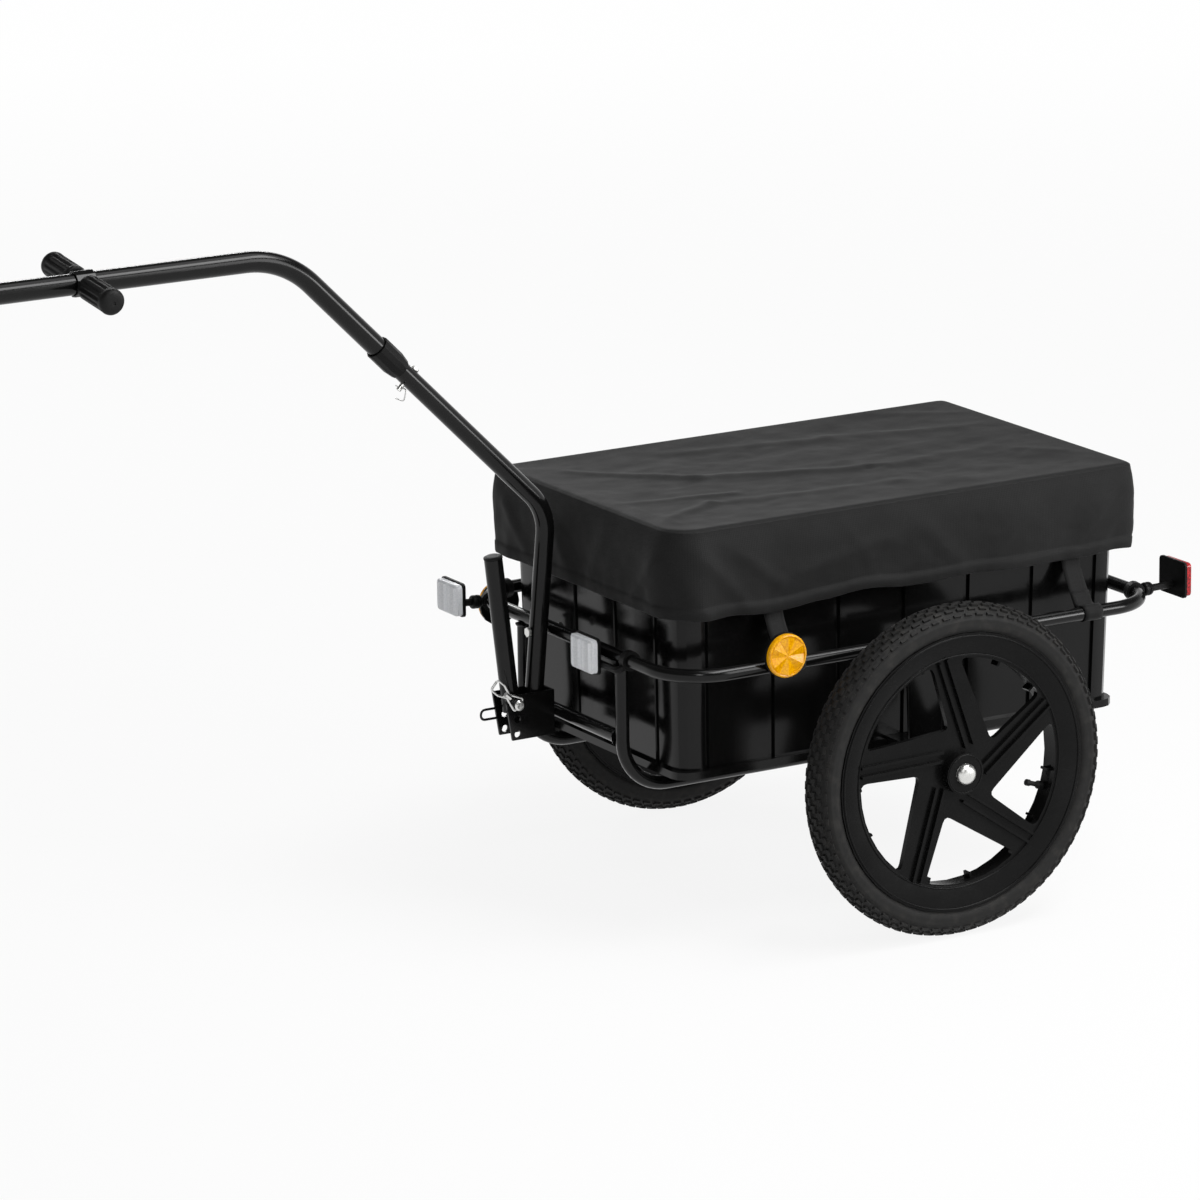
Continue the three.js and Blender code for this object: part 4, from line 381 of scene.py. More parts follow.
@dataclass(frozen=True)
class GlossPaint(Finish):
    """Glossy powder coat with a faint orange peel and a little dust.

    Attributes:
        peel: Depth of the orange peel.
        dust: How much paler a dusty place is.
        smooth: Roughness where it is smoothest.
        dull: Roughness where it is dullest.
        gloss: The shader's specular level.
    """

    peel: float = 0.00001
    dust: float = 0.008
    smooth: float = 0.13
    dull: float = 0.2
    gloss: float = 0.24

    def dress(self, shader: Shader) -> None:
        """Fill in a shader's nodes.

        Args:
            shader: The new material's shader.
        """
        dusty = shader.spread(shader.noise(45, 5), 0, 0.3, 0.55, 0.8)
        worn = shaded(self.colour, 1, self.dust)
        shader.link(shader.blend(dusty, self.colour, worn), "Base Color")
        rubbed = shader.spread(shader.noise(20, 4), self.smooth, self.dull, 0.3, 0.75)
        shader.link(rubbed, "Roughness")
        shader.link(shader.bump(shader.noise(150, 2), self.peel), "Normal")
        shader.set(Specular_IOR_Level=self.gloss)


@dataclass(frozen=True)
class Moulded(Finish):
    """Injection-moulded plastic: pebbled grain, soft flow marks and scuffs.

    Attributes:
        smooth: Roughness where it is smoothest.
        dull: Roughness where it is dullest.
        grain: Grain size in cells per metre.
        grain_depth: Grain depth.
        gloss: The shader's specular level.
    """

    smooth: float = 0.36
    dull: float = 0.52
    grain: float = 1400
    grain_depth: float = 0.00004
    gloss: float = 0.2

    def dress(self, shader: Shader) -> None:
        """Fill in a shader's nodes.

        Args:
            shader: The new material's shader.
        """
        cloudy = shader.spread(shader.noise(14, 5), 0, 1, 0.35, 0.72)
        paler = shaded(self.colour, 1.4, 0.001)
        shader.link(shader.blend(cloudy, self.colour, paler), "Base Color")
        scuff = shader.noise(60, 6, shader.scaled(shader.object_point, (1, 0.4, 1.6)))
        shader.link(shader.spread(scuff, self.smooth, self.dull, 0.35, 0.7), "Roughness")
        shader.link(shader.bump(shader.cells(self.grain), self.grain_depth), "Normal")
        shader.set(Specular_IOR_Level=self.gloss)


@dataclass(frozen=True)
class Polished(Finish):
    """Glossy moulded plastic whose thin walls wander, which draws reflections out upright.

    Attributes:
        wander: Depth of the slow hollows in the walls.
        smooth: Roughness where it is smoothest.
        dull: Roughness where it is dullest.
        gloss: The shader's specular level.
    """

    wander: float = 0.0011
    smooth: float = 0.1
    dull: float = 0.22
    gloss: float = 0.22

    def dress(self, shader: Shader) -> None:
        """Fill in a shader's nodes.

        Args:
            shader: The new material's shader.
        """
        upright = shader.scaled(shader.object_point, (1, 1, 0.22))
        # The colour turns paler in broad upright streaks.
        paler_upright_streaks = shader.spread(shader.noise(7, 3, upright), 0, 1, 0.4, 0.75)
        paler = shaded(self.colour, 1.7, 0.0008)
        shader.link(shader.blend(paler_upright_streaks, self.colour, paler), "Base Color")
        rubbed = shader.noise(26, 5, upright)
        shader.link(shader.spread(rubbed, self.smooth, self.dull, 0.35, 0.75), "Roughness")
        slow = shader.bump(shader.noise(5.5, 1, upright), self.wander)
        shader.link(shader.bump(shader.noise(900, 2), 0.00001, slow), "Normal")
        shader.set(Specular_IOR_Level=self.gloss)


@dataclass(frozen=True)
class Metal(Finish):
    """Plated or bare metal with fine handling marks.

    Attributes:
        roughness: Its mean roughness.
        stained: How dark a stain is, as a share of the colour.
    """

    roughness: float = 0.24
    stained: float = 0.62

    def dress(self, shader: Shader) -> None:
        """Fill in a shader's nodes.

        Args:
            shader: The new material's shader.
        """
        shader.set(Metallic=1.0)
        stain = shader.spread(shader.noise(90, 4), 0, 0.4, 0.5, 0.85)
        darker = shaded(self.colour, self.stained)
        shader.link(shader.blend(stain, self.colour, darker), "Base Color")
        marks = shader.noise(500, 3)
        smooth, dull = self.roughness * 0.7, self.roughness * 1.5
        shader.link(shader.spread(marks, smooth, dull, 0.3, 0.7), "Roughness")
        shader.link(shader.bump(shader.noise(1600, 2), 0.00001), "Normal")


@dataclass(frozen=True)
class Rubber(Finish):
    """Matt rubber with a fine grain and patches of dust.

    Attributes:
        dust: Colour of the dust.
        roughness: Its mean roughness.
        uneven: How far the roughness strays from its mean.
        gloss: The shader's specular level.
    """

    dust: Colour = (0.03, 0.028, 0.025)
    roughness: float = 0.66
    uneven: float = 0.12
    gloss: float = 0.22

    def dress(self, shader: Shader) -> None:
        """Fill in a shader's nodes.

        Args:
            shader: The new material's shader.
        """
        dusty = shader.spread(shader.noise(70, 6), 0, 0.6, 0.5, 0.8)
        shader.link(shader.blend(dusty, self.colour, self.dust), "Base Color")
        smooth, dull = self.roughness - self.uneven, self.roughness + self.uneven
        shader.link(shader.spread(shader.noise(240, 3), smooth, dull), "Roughness")
        fine = shader.bump(shader.noise(2200, 2), 0.00004)
        shader.link(shader.bump(shader.cells(700), 0.00005, fine), "Normal")
        shader.set(Specular_IOR_Level=self.gloss)


@dataclass(frozen=True)
class Cloth(Finish):
    """Coated plain-weave cloth that follows its piece's own UV map, in metres.

    Attributes:
        threads: Threads per metre.
        sheen: Strength of the fuzzy sheen.
        crumple: Depth of the small creases.
        thread_depth: Depth of the weave.
        gloss: The shader's specular level.
    """

    threads: float = 900
    sheen: float = 0.04
    crumple: float = 0.0011
    thread_depth: float = 0.00012
    gloss: float = 0.09

    def dress(self, shader: Shader) -> None:
        """Fill in a shader's nodes.

        Args:
            shader: The new material's shader.
        """
        weave = shader.product(*(shader.threads(self.threads, axis) for axis in "XY"))
        slubs = shader.noise(160, 4, shader.scaled(shader.uv_point, (1, 8, 1)))
        # Painted shade: the gaps between threads are darker; the slubs are the yarn's own tone.
        slub_tone_and_gap_shade = shader.product(shader.spread(weave, 0.7, 1), shader.spread(slubs, 0.8, 1.15))
        woven_with_gap_shade = shader.blend(slub_tone_and_gap_shade, shaded(self.colour, 0.55), self.colour)
        dusty = shader.spread(shader.noise(9, 6), 0, 0.3, 0.5, 0.9)
        shader.link(shader.blend(dusty, woven_with_gap_shade, shaded(self.colour, 1, 0.006)), "Base Color")
        shader.link(shader.spread(shader.noise(30, 4), 0.5, 0.72), "Roughness")
        broad = shader.bump(shader.noise(11, 3), self.crumple * 1.6)
        creases = shader.bump(shader.noise(34, 4), self.crumple * 0.5, broad)
        shader.link(shader.bump(weave, self.thread_depth, creases), "Normal")
        shader.set(
            Sheen_Weight=self.sheen, Sheen_Roughness=0.45, Specular_IOR_Level=self.gloss
        )


@dataclass(frozen=True)
class Prism(Finish):
    """Reflector plastic over small corner prisms, with painted facet shade and a painted glow.

    Attributes:
        deep: Colour painted into the prisms' dark faces, as painted shade.
        pitch: Prisms per metre.
        inner_light: Strength of the painted glow that stands in for light sent back by the prisms.
    """

    deep: Colour = (0.2, 0.02, 0.0)
    pitch: float = 420
    inner_light: float = 0.25

    def dress(self, shader: Shader) -> None:
        """Fill in a shader's nodes.

        Args:
            shader: The new material's shader.
        """
        facets = shader.cells(self.pitch)
        # Painted shade: the cells turn the colour toward the deep one, as lit and dark prism faces.
        painted_facet_tint = shader.blend(shader.spread(facets, 0, 1, 0.15, 0.85), self.colour, self.deep)
        shader.link(painted_facet_tint, "Base Color")
        # Painted glow: the same colour glows, though the lens holds no lamp.
        shader.link(painted_facet_tint, "Emission Color")
        shader.link(shader.bump(facets, 0.00015), "Normal")
        shader.set(
            Roughness=0.2,
            Coat_Weight=0.15,
            Coat_Roughness=0.06,
            Specular_IOR_Level=0.35,
            Emission_Strength=self.inner_light,
        )


PAINT = GlossPaint("gloss_black_coat", "paint", grey(0.0035))
WHEEL_PLASTIC = Moulded("wheel_nylon", "rim", grey(0.0034), 0.2, 0.32, 1400, 0.00002, 0.1)
TUB_PLASTIC = Polished("tub_polypropylene", "tub", grey(0.0022))
FITTING = Moulded("fitting_plastic", "moulding", grey(0.003), gloss=0.14)
STEEL = Metal("zinc_plate", "steel", (0.72, 0.72, 0.7), 0.3)
WIRE = Metal("spring_wire", "wire", (0.66, 0.66, 0.65), 0.3)
TYRE_RUBBER = Rubber("tyre_rubber", "tyre", (0.0088, 0.0086, 0.0083))
VALVE_RUBBER = Rubber("valve_rubber", "valve", (0.008, 0.008, 0.008))
GRIP_RUBBER = Rubber("grip_rubber", "grip", grey(0.0035), grey(0.009), 0.55)
COVER_CLOTH = Cloth("cover_cloth", "cloth", grey(0.0145))
WEBBING = Cloth("strap_webbing", "webbing", grey(0.012), 600, 0.05, 0.0002)
# The second colour is painted facet shade; the last number, where given, is a painted glow.
AMBER = Prism("amber_prism", "amber", (0.7, 0.35, 0.0), (0.54, 0.21, 0.0))
CLEAR = Prism("clear_prism", "clear", (0.86, 0.87, 0.89), (0.72, 0.74, 0.77), 700, 0.03)
RED = Prism("red_prism", "red", (0.42, 0.01, 0.014), (0.12, 0.0, 0.003), 420, 0.08)

# A solid that is only refined: its name, its finish and how far its edges are cut back.
Part = tuple[str, Finish, float]


# Mesh work


def edges_of(geometry: Iterable[object]) -> list[bmesh.types.BMEdge]:
    """The edges among mixed elements."""
    return [item for item in geometry if isinstance(item, bmesh.types.BMEdge)]


def verts_of(geometry: Iterable[object]) -> list[bmesh.types.BMVert]:
    """The vertices among mixed elements."""
    return [item for item in geometry if isinstance(item, bmesh.types.BMVert)]


def once(items: Iterable[object]) -> list[object]:
    """The items in their order, each of them once."""
    return list(dict.fromkeys(items))


def pulled(
    mesh: bmesh.types.BMesh, rim: list[bmesh.types.BMEdge], step: Vector
) -> list[bmesh.types.BMEdge]:
    """Draw an open rim along a step.

    Args:
        mesh: The mesh.
        rim: The rim's edges.
        step: How far it goes and which way.

    Returns:
        The new rim.
    """
    made = bmesh.ops.extrude_edge_only(mesh, edges=rim)["geom"]
    fresh = set(verts_of(made))
    bmesh.ops.translate(mesh, verts=list(fresh), vec=step)
    return [edge for edge in edges_of(made) if set(edge.verts) <= fresh]


@dataclass
class Bend:
    """A tube that runs straight between corners and turns them at one radius.

    Attributes:
        route: Corner points, first and last included.
        bend: Radius of the bends at the tube's centre line.
        radius: Outer radius.
        wall: Wall thickness seen at open ends, or 0 for closed ends.
        closed: Whether the last point meets the first.
        sides: Sides of the round section.
        steps: Steps of each bend.
    """

    route: Sequence[Vector]
    bend: float
    radius: float
    wall: float = 0
    closed: bool = False
    sides: int = 28
    steps: int = 12

    def mesh(self) -> bmesh.types.BMesh:
        """Sweep the tube by straight pulls and spins.

        Returns:
            The tube's mesh.
        """
        mesh = bmesh.new()
        heading = (self.route[1] - self.route[0]).normalized()
        place = aimed(self.route[0], heading)
        ring = bmesh.ops.create_circle(
            mesh, cap_ends=False, radius=self.radius, segments=self.sides, matrix=place
        )["verts"]
        first = once(edge for vert in ring for edge in vert.link_edges)
        rim, here = first, self.route[0]
        for corner, beyond in zip(self.route[1:], [*self.route[2:], None]):
            if beyond is None:
                rim = pulled(mesh, rim, corner - here)
                break
            after = (beyond - corner).normalized()
            turn = heading.angle(after)
            start = corner - heading * self.bend * math.tan(turn / 2)
            rim = pulled(mesh, rim, start - here)
            axis = heading.cross(after).normalized()
            centre = start + axis.cross(heading) * self.bend
            rim = self._turned(mesh, rim, centre, axis, turn)
            here = centre + Quaternion(axis, turn) @ (start - centre)
            heading = after
        if self.closed:
            bmesh.ops.remove_doubles(mesh, verts=mesh.verts, dist=CLOSING)
        else:
            for end in (first, rim):
                self._end(mesh, end)
        bmesh.ops.recalc_face_normals(mesh, faces=mesh.faces)
        return mesh

    def _turned(
        self,
        mesh: bmesh.types.BMesh,
        rim: list[bmesh.types.BMEdge],
        centre: Vector,
        axis: Vector,
        turn: float,
    ) -> list[bmesh.types.BMEdge]:
        """Spin a rim round a bend.

        Args:
            mesh: The mesh.
            rim: The rim's edges.
            centre: The bend's centre.
            axis: The bend's axis.
            turn: Its angle in radians.

        Returns:
            The new rim.
        """
        verts = once(vert for edge in rim for vert in edge.verts)
        made = bmesh.ops.spin(
            mesh, geom=verts + rim, cent=centre, axis=axis, angle=turn, steps=self.steps
        )
        return edges_of(made["geom_last"])

    def _end(self, mesh: bmesh.types.BMesh, rim: list[bmesh.types.BMEdge]) -> None:
        """Close an end, and sink it where the tube is open.

        Args:
            mesh: The mesh.
            rim: The end's edges.
        """
        face = bmesh.ops.edgeloop_fill(mesh, edges=rim)["faces"][0]
        if self.wall == 0:
            return
        face.normal_update()
        inward = -face.normal.copy()
        centre = face.calc_center_median()
        nearest = min(self.route, key=lambda corner: (corner - centre).length)
        ahead = self.route[1] if nearest == self.route[0] else self.route[-2]
        if inward.dot(ahead - nearest) < 0:
            inward = -inward
        bmesh.ops.inset_region(mesh, faces=[face], thickness=self.wall, use_even_offset=True)
        deep = bmesh.ops.extrude_discrete_faces(mesh, faces=[face])["faces"]
        bmesh.ops.translate(mesh, verts=deep[0].verts, vec=inward * 4 * self.wall)


def aimed(place: Vector, ahead: Vector) -> Matrix:
    """The matrix that moves the origin to a place and turns +Z ahead."""
    return Matrix.Translation(place) @ ahead.to_track_quat("Z", "Y").to_matrix().to_4x4()


def turned(
    profile: Profile, origin: Vector, axis: Vector, sides: int = 32
) -> bmesh.types.BMesh:
    """Turn a profile of (radius, along) pairs round an axis.

    Args:
        profile: Points in millimetres; closed if the last is the first.
        origin: Where the axis starts.
        axis: The axis's direction.
        sides: Steps of the full turn.

    Returns:
        The turned mesh.
    """
    mesh = bmesh.new()
    across = axis.orthogonal().normalized()
    line = [
        mesh.verts.new(origin + across * (radius * MM) + axis * (along * MM))
        for radius, along in profile
    ]
    edges = [mesh.edges.new(pair) for pair in zip(line, line[1:])]
    bmesh.ops.spin(
        mesh, geom=line + edges, cent=origin, axis=axis, angle=TAU, steps=sides, use_merge=True
    )
    bmesh.ops.remove_doubles(mesh, verts=mesh.verts, dist=MERGE)
    bmesh.ops.recalc_face_normals(mesh, faces=mesh.faces)
    return mesh


def joined(*parts: bmesh.types.BMesh) -> bmesh.types.BMesh:
    """Gather several meshes in one.

    Args:
        parts: The meshes, which are freed.

    Returns:
        The one mesh.
    """
    whole = bmesh.new()
    for part in parts:
        scratch = bpy.data.meshes.new("scratch")
        part.to_mesh(scratch)
        whole.from_mesh(scratch)
        bpy.data.meshes.remove(scratch)
        part.free()
    return whole


def softened(mesh: bmesh.types.BMesh, width: float, crease: float = 28) -> None:
    """Round a mesh's sharp edges.

    Args:
        mesh: The mesh.
        width: How far each edge is cut back, in millimetres.
        crease: Degrees past which an edge counts as sharp.
    """
    sharp = [
        edge
        for edge in mesh.edges
        if edge.is_manifold and edge.calc_face_angle(0) > math.radians(crease)
    ]
    bmesh.ops.bevel(
        mesh,
        geom=sharp,
        offset=width * MM,
        offset_type="OFFSET",
        segments=2,
        profile=0.5,
        affect="EDGES",
        clamp_overlap=True,
        material=-1,
    )


def body_of(node: str) -> str:
    """The body that a solid rides on."""
    return frame["nodes"][node]["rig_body"]


def add(
    name: str,
    mesh: bmesh.types.BMesh,
    finish: Finish,
    body: str,
    replaces: Sequence[str] = (),
    crease: float = 32,
) -> bpy.types.Object:
    """Make a piece of the trailer from a mesh.

    Args:
        name: The piece's name.
        mesh: Its mesh, which is freed.
        finish: Its finish.
        body: The body it rides on.
        replaces: The solids it stands for.
        crease: Degrees past which an edge stays sharp.

    Returns:
        The finished object.
    """
    data = bpy.data.meshes.new(name)
    mesh.to_mesh(data)
    mesh.free()
    data.materials.append(finish.material())
    for polygon in data.polygons:
        polygon.use_smooth = True
    data.set_sharp_from_angle(angle=math.radians(crease))
    piece = bpy.data.objects.new(name, data)
    bpy.context.scene.collection.objects.link(piece)
    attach(piece, body)
    if replaces:
        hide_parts(*replaces)
    LOG.info("%s rides on %s, %d faces", name, body, len(data.polygons))
    return piece


def solid_copy(node: str) -> bmesh.types.BMesh:
    """Copy a solid's mesh, merged, with its flat faces made whole.

    Args:
        node: The solid's name.

    Returns:
        The copy.
    """
    mesh = bmesh.new()
    mesh.from_mesh(frame["nodes"][node].data)
    bmesh.ops.remove_doubles(mesh, verts=mesh.verts, dist=MERGE)
    bmesh.ops.dissolve_limit(
        mesh, angle_limit=math.radians(FLAT), verts=mesh.verts, edges=mesh.edges
    )
    return mesh


def refined(node: str, finish: Finish, width: float) -> bpy.types.Object:
    """Put a rounded copy in a solid's place.

    Args:
        node: The solid's name.
        finish: The piece's finish.
        width: How far its edges are cut back, in millimetres.

    Returns:
        The finished object.
    """
    mesh = solid_copy(node)
    softened(mesh, width)
    return even(add(f"{node}_shape", mesh, finish, body_of(node), [node]))


def even(piece: bpy.types.Object) -> bpy.types.Object:
    """Keep large faces flat between rounded edges.

    Args:
        piece: The object.

    Returns:
        The same object.
    """
    weighted = piece.modifiers.new("weighted", "WEIGHTED_NORMAL")
    weighted.mode = "FACE_AREA"
    weighted.weight = EVENNESS
    weighted.keep_sharp = True
    return piece


def weld(place: Vector, along: Vector, radius: float) -> bmesh.types.BMesh:
    """Lay a bead round a bar's end.

    Args:
        place: The bar's end.
        along: The direction back along the bar.
        radius: The bar's radius in millimetres.

    Returns:
        The bead's mesh.
    """
    return turned([(radius + past, height) for past, height in BEAD], place, along, sides=28)


# Frame


@dataclass
class Frame:
    """The tub's loop, its cradle hoops, the crossbar and the axle parts. Sizes in millimetres.

    Attributes:
        tube: Radius of the tubes.
        height: The loop's height.
        front: The loop's front end.
        rear: The loop's rear end.
        half_width: Half the loop's width.
        corner: Radius of the loop's corners.
        hoop_y: The hoops' distance from the middle plane.
        hoop_z: The height of their level run.
        hoop_top: The height of their ends under the loop.
        hoop_bend: Radius of their bends.
        crossbar_z: The crossbar's height.
        weld_gap: Gap between the crossbar's ends and the hoops.
        soft_edge: How far the edges of the axle parts are cut back.
    """

    tube: float = 8
    height: float = 335
    front: float = -326
    rear: float = 342
    half_width: float = 240
    corner: float = 65
    hoop_y: float = 112.02
    hoop_z: float = 177.2
    hoop_top: float = 326.7
    hoop_bend: float = 58
    crossbar_z: float = 238
    weld_gap: float = 0.3
    soft_edge: float = 0.8

    def build(self) -> None:
        """Build every piece of the frame."""
        self._loop()
        self._hoops()
        self._crossbar()
        for node in ("axle_beam", "axle_carrier_left", "axle_carrier_right"):
            refined(node, PAINT, self.soft_edge)

    def _loop(self) -> None:
        """One tube round the tub, closed."""
        y = self.half_width
        route = [
            at(0, -y, self.height),
            at(self.front, -y, self.height),
            at(self.front, y, self.height),
            at(self.rear, y, self.height),
            at(self.rear, -y, self.height),
            at(0, -y, self.height),
        ]
        tube = Bend(route, self.corner * MM, self.tube * MM, closed=True, steps=16)
        add("loop_tube", tube.mesh(), PAINT, "chassis", ["frame_loop"])

    def _hoops(self) -> None:
        """Two hoops under the tub."""
        for side in Side:
            y = side.value * self.hoop_y
            route = [
                at(self.front, y, self.hoop_top),
                at(self.front, y, self.hoop_z),
                at(self.rear, y, self.hoop_z),
                at(self.rear, y, self.hoop_top),
            ]
            tube = Bend(route, self.hoop_bend * MM, self.tube * MM)
            beads = [weld(end, -Z_AXIS, self.tube) for end in (route[0], route[-1])]
            hoop = joined(tube.mesh(), *beads)
            add(f"hoop_{side.word}", hoop, PAINT, "chassis", [f"cradle_{side.word}"])

    def _crossbar(self) -> None:
        """The straight bar between the hoops, welded at both ends."""
        reach = self.hoop_y - self.tube - self.weld_gap
        route = [at(self.front, side.value * reach, self.crossbar_z) for side in Side]
        bar = Bend(route, 0, self.tube * MM)
        beads = [
            weld(end, -Y_AXIS * side.value, self.tube) for end, side in zip(route, Side)
        ]
        crossbar = joined(bar.mesh(), *beads)
        add("hoop_crossbar", crossbar, PAINT, "chassis", ["front_crossbar"])


# Wheels


@dataclass
class Tyre:
    """A 16-inch tyre with a small-block tread. Sizes in millimetres.

    Attributes:
        side: The side of the trailer.
        radius: Radius over the tread.
        half_width: Half the width.
        seat: Radius of the bead's seat.
        tread_depth: How far a block stands out.
        sunk: How far a block reaches into the carcass.
        stations: Blocks in a row.
        cover: A block's share of its step along the row.
        taper: A block's top against its root, along the row and across it.
        section: Half the section from the bead to the crown, as (share of the depth, share of
            the half width).
        rows: Rows of blocks as (distance from the middle plane, phase in steps, width).
    """

    side: Side
    radius: float = 198
    half_width: float = 22.2
    seat: float = 158
    tread_depth: float = 2.6
    sunk: float = 1.2
    stations: int = 78
    cover: float = 0.66
    taper: tuple[float, float] = (0.82, 0.8)
    section: Profile = (
        (0.02, 0.66), (0.1, 0.69), (0.2, 0.78), (0.235, 0.83), (0.25, 0.83), (0.29, 0.91),
        (0.38, 0.965), (0.47, 0.985), (0.56, 0.97), (0.6, 0.985), (0.64, 0.97),
        (0.76, 0.86), (0.87, 0.68), (0.95, 0.45), (0.99, 0.2), (1.0, 0.0),
    )  # fmt: skip
    rows: Sequence[Wave] = (
        (0, 0, 5.4), (6.9, 0.5, 4.8), (-6.9, 0.5, 4.8), (13.2, 0, 4.4), (-13.2, 0, 4.4),
        (18.9, 0.5, 3.8), (-18.9, 0.5, 3.8),
    )  # fmt: skip

    @property
    def centre(self) -> Vector:
        """The tyre's middle."""
        return middle(f"tyre_{self.side.word}")

    def build(self) -> None:
        """Carcass and tread blocks in one mesh."""
        whole = joined(self._carcass(), self._tread())
        node = f"tyre_{self.side.word}"
        add(f"tyre_shape_{self.side.word}", whole, TYRE_RUBBER, body_of(node), [node])

    def _outline(self) -> list[tuple[float, float]]:
        """Half the section, from the bead to the crown.

        Returns:
            Pairs of (radius, half width).
        """
        depth = self.radius - self.tread_depth - self.seat
        return [
            (self.seat + depth * rise, self.half_width * width) for rise, width in self.section
        ]

    def _carcass(self) -> bmesh.types.BMesh:
        """Turn the body.

        Returns:
            Its mesh.
        """
        half = self._outline()
        other = [(radius, -width) for radius, width in reversed(half) if width > 0]
        return turned([*half, *other, half[0]], self.centre, Y_AXIS, sides=96)

    def _tread(self) -> bmesh.types.BMesh:
        """Make the rows of blocks, each from one block that is spun round.

        Returns:
            Their mesh.
        """
        mesh = bmesh.new()
        step = TAU / self.stations
        for aside, phase, width in self.rows:
            seat = self._surface(abs(aside))
            tilt = -math.copysign(seat[1], aside)
            length = step * self.radius * self.cover
            made = bmesh.ops.create_cube(mesh, size=1)["verts"]
            tall = self.tread_depth + self.sunk
            bmesh.ops.scale(mesh, vec=Vector((length, width, tall)) * MM, verts=made)
            top = [vert for vert in made if vert.co.z > 0]
            bmesh.ops.scale(mesh, vec=Vector((*self.taper, 1)), verts=top)
            place = (
                Matrix.Translation(self.centre)
                @ Matrix.Rotation(phase * step, 4, "Y")
                @ Matrix.Translation(Vector((0, aside, seat[0])) * MM)
                @ Matrix.Rotation(tilt, 4, "X")
            )
            bmesh.ops.transform(mesh, matrix=place, verts=made)
            edges = once(edge for vert in made for edge in vert.link_edges)
            faces = once(face for vert in made for face in vert.link_faces)
            bmesh.ops.spin(
                mesh,
                geom=made + edges + faces,
                cent=self.centre,
                axis=Y_AXIS,
                angle=TAU - step,
                steps=self.stations - 1,
                use_duplicate=True,
            )
        return mesh

    def _surface(self, aside: float) -> tuple[float, float]:
        """Find the carcass under a row of blocks.

        Args:
            aside: The row's distance from the middle plane.

        Returns:
            The radius of the blocks' centres, and the lean of the surface in radians.
        """
        half = self._outline()
        for (high, near), (low, far) in zip(half[::-1], half[-2::-1]):
            if near <= aside <= far:
                share = (aside - near) / (far - near)
                lean = math.atan2(high - low, far - near)
                lift = (self.tread_depth - self.sunk) / 2
                return high + (low - high) * share + lift * math.cos(lean), lean
        return half[-1][0], 0.0


@dataclass
class RunningGear:
    """Wheels, tyres, valves, bearings, stub axles and nuts. Sizes in millimetres.

    Attributes:
        rib_edge: How far the wheel's edges are cut back.
        rings: Raised rings on the wheel's faces as (radius, distance from its middle, thickness).
        nut: The domed nut's outline, from its seat to its tip.
        plain: The plain round parts with their finish and how far their edges are cut back.
    """

    rib_edge: float = 0.7
    rings: Sequence[Wave] = ((162.4, 19.6, 1.5), (139.2, 13.8, 1.3), (22.6, 25.9, 1.0))
    nut: Profile = (
        (0, 0), (12.6, 0), (12.6, 1.2), (12.3, 2.6), (11.6, 4.1), (10.5, 5.6), (9, 6.9), (7, 8),
        (4.7, 8.7), (2.3, 9), (0, 9.1),
    )  # fmt: skip
    plain: Sequence[Part] = (
        ("valve", VALVE_RUBBER, 0.3),
        ("stub_axle", STEEL, 0.4),
        ("bearing_inner", STEEL, 0.4),
        ("bearing_outer", STEEL, 0.4),
    )

    def build(self) -> None:
        """Build both sides."""
        for side in Side:
            Tyre(side).build()
            self._wheel(side)
            for part, finish, edge in self.plain:
                refined(f"{part}_{side.word}", finish, edge)
            self._nut(side)

    def _wheel(self, side: Side) -> None:
        """Build the moulded wheel with its raised rings.

        Args:
            side: The side of the trailer.
        """
        node = f"wheel_{side.word}"
        mesh = solid_copy(node)
        softened(mesh, self.rib_edge)
        rings = [self._ring(side, way, *ring) for way in (-1, 1) for ring in self.rings]
        even(add(f"{node}_shape", joined(mesh, *rings), WHEEL_PLASTIC, body_of(node), [node]))

    @staticmethod
    def _ring(
        side: Side, way: int, radius: float, stand: float, thick: float
    ) -> bmesh.types.BMesh:
        """Turn a half-sunk round ring for one face of a wheel.

        Args:
            side: The side of the trailer.
            way: The face, by the sign of Y.
            radius: The ring's radius.
            stand: Its distance from the wheel's middle.
            thick: The radius of its round section.

        Returns:
            The ring's mesh.
        """
        steps = 12
        bead = [
            (radius + thick * math.cos(angle), stand + thick * math.sin(angle))
            for angle in (TAU * i / steps for i in range(steps + 1))
        ]
        return turned(bead, middle(f"wheel_{side.word}"), Y_AXIS * way, sides=96)

    def _nut(self, side: Side) -> None:
        """Build the domed axle nut.

        Args:
            side: The side of the trailer.
        """
        node = f"dome_nut_{side.word}"
        low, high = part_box(node)
        outward = Y_AXIS * side.value
        back = middle(node) - outward * (high.y - low.y) / 2
        add(f"{node}_turned", turned(self.nut, back, outward), STEEL, body_of(node), [node])


# Cover


@dataclass(frozen=True)
class Station:
    """A place on the rim of the cover's top, from which the side hangs.

    Attributes:
        place: Where it is.
        outward: The level direction away from the cover.
        way: The distance to it along the rim.
    """

    place: Vector
    outward: Vector
    way: float


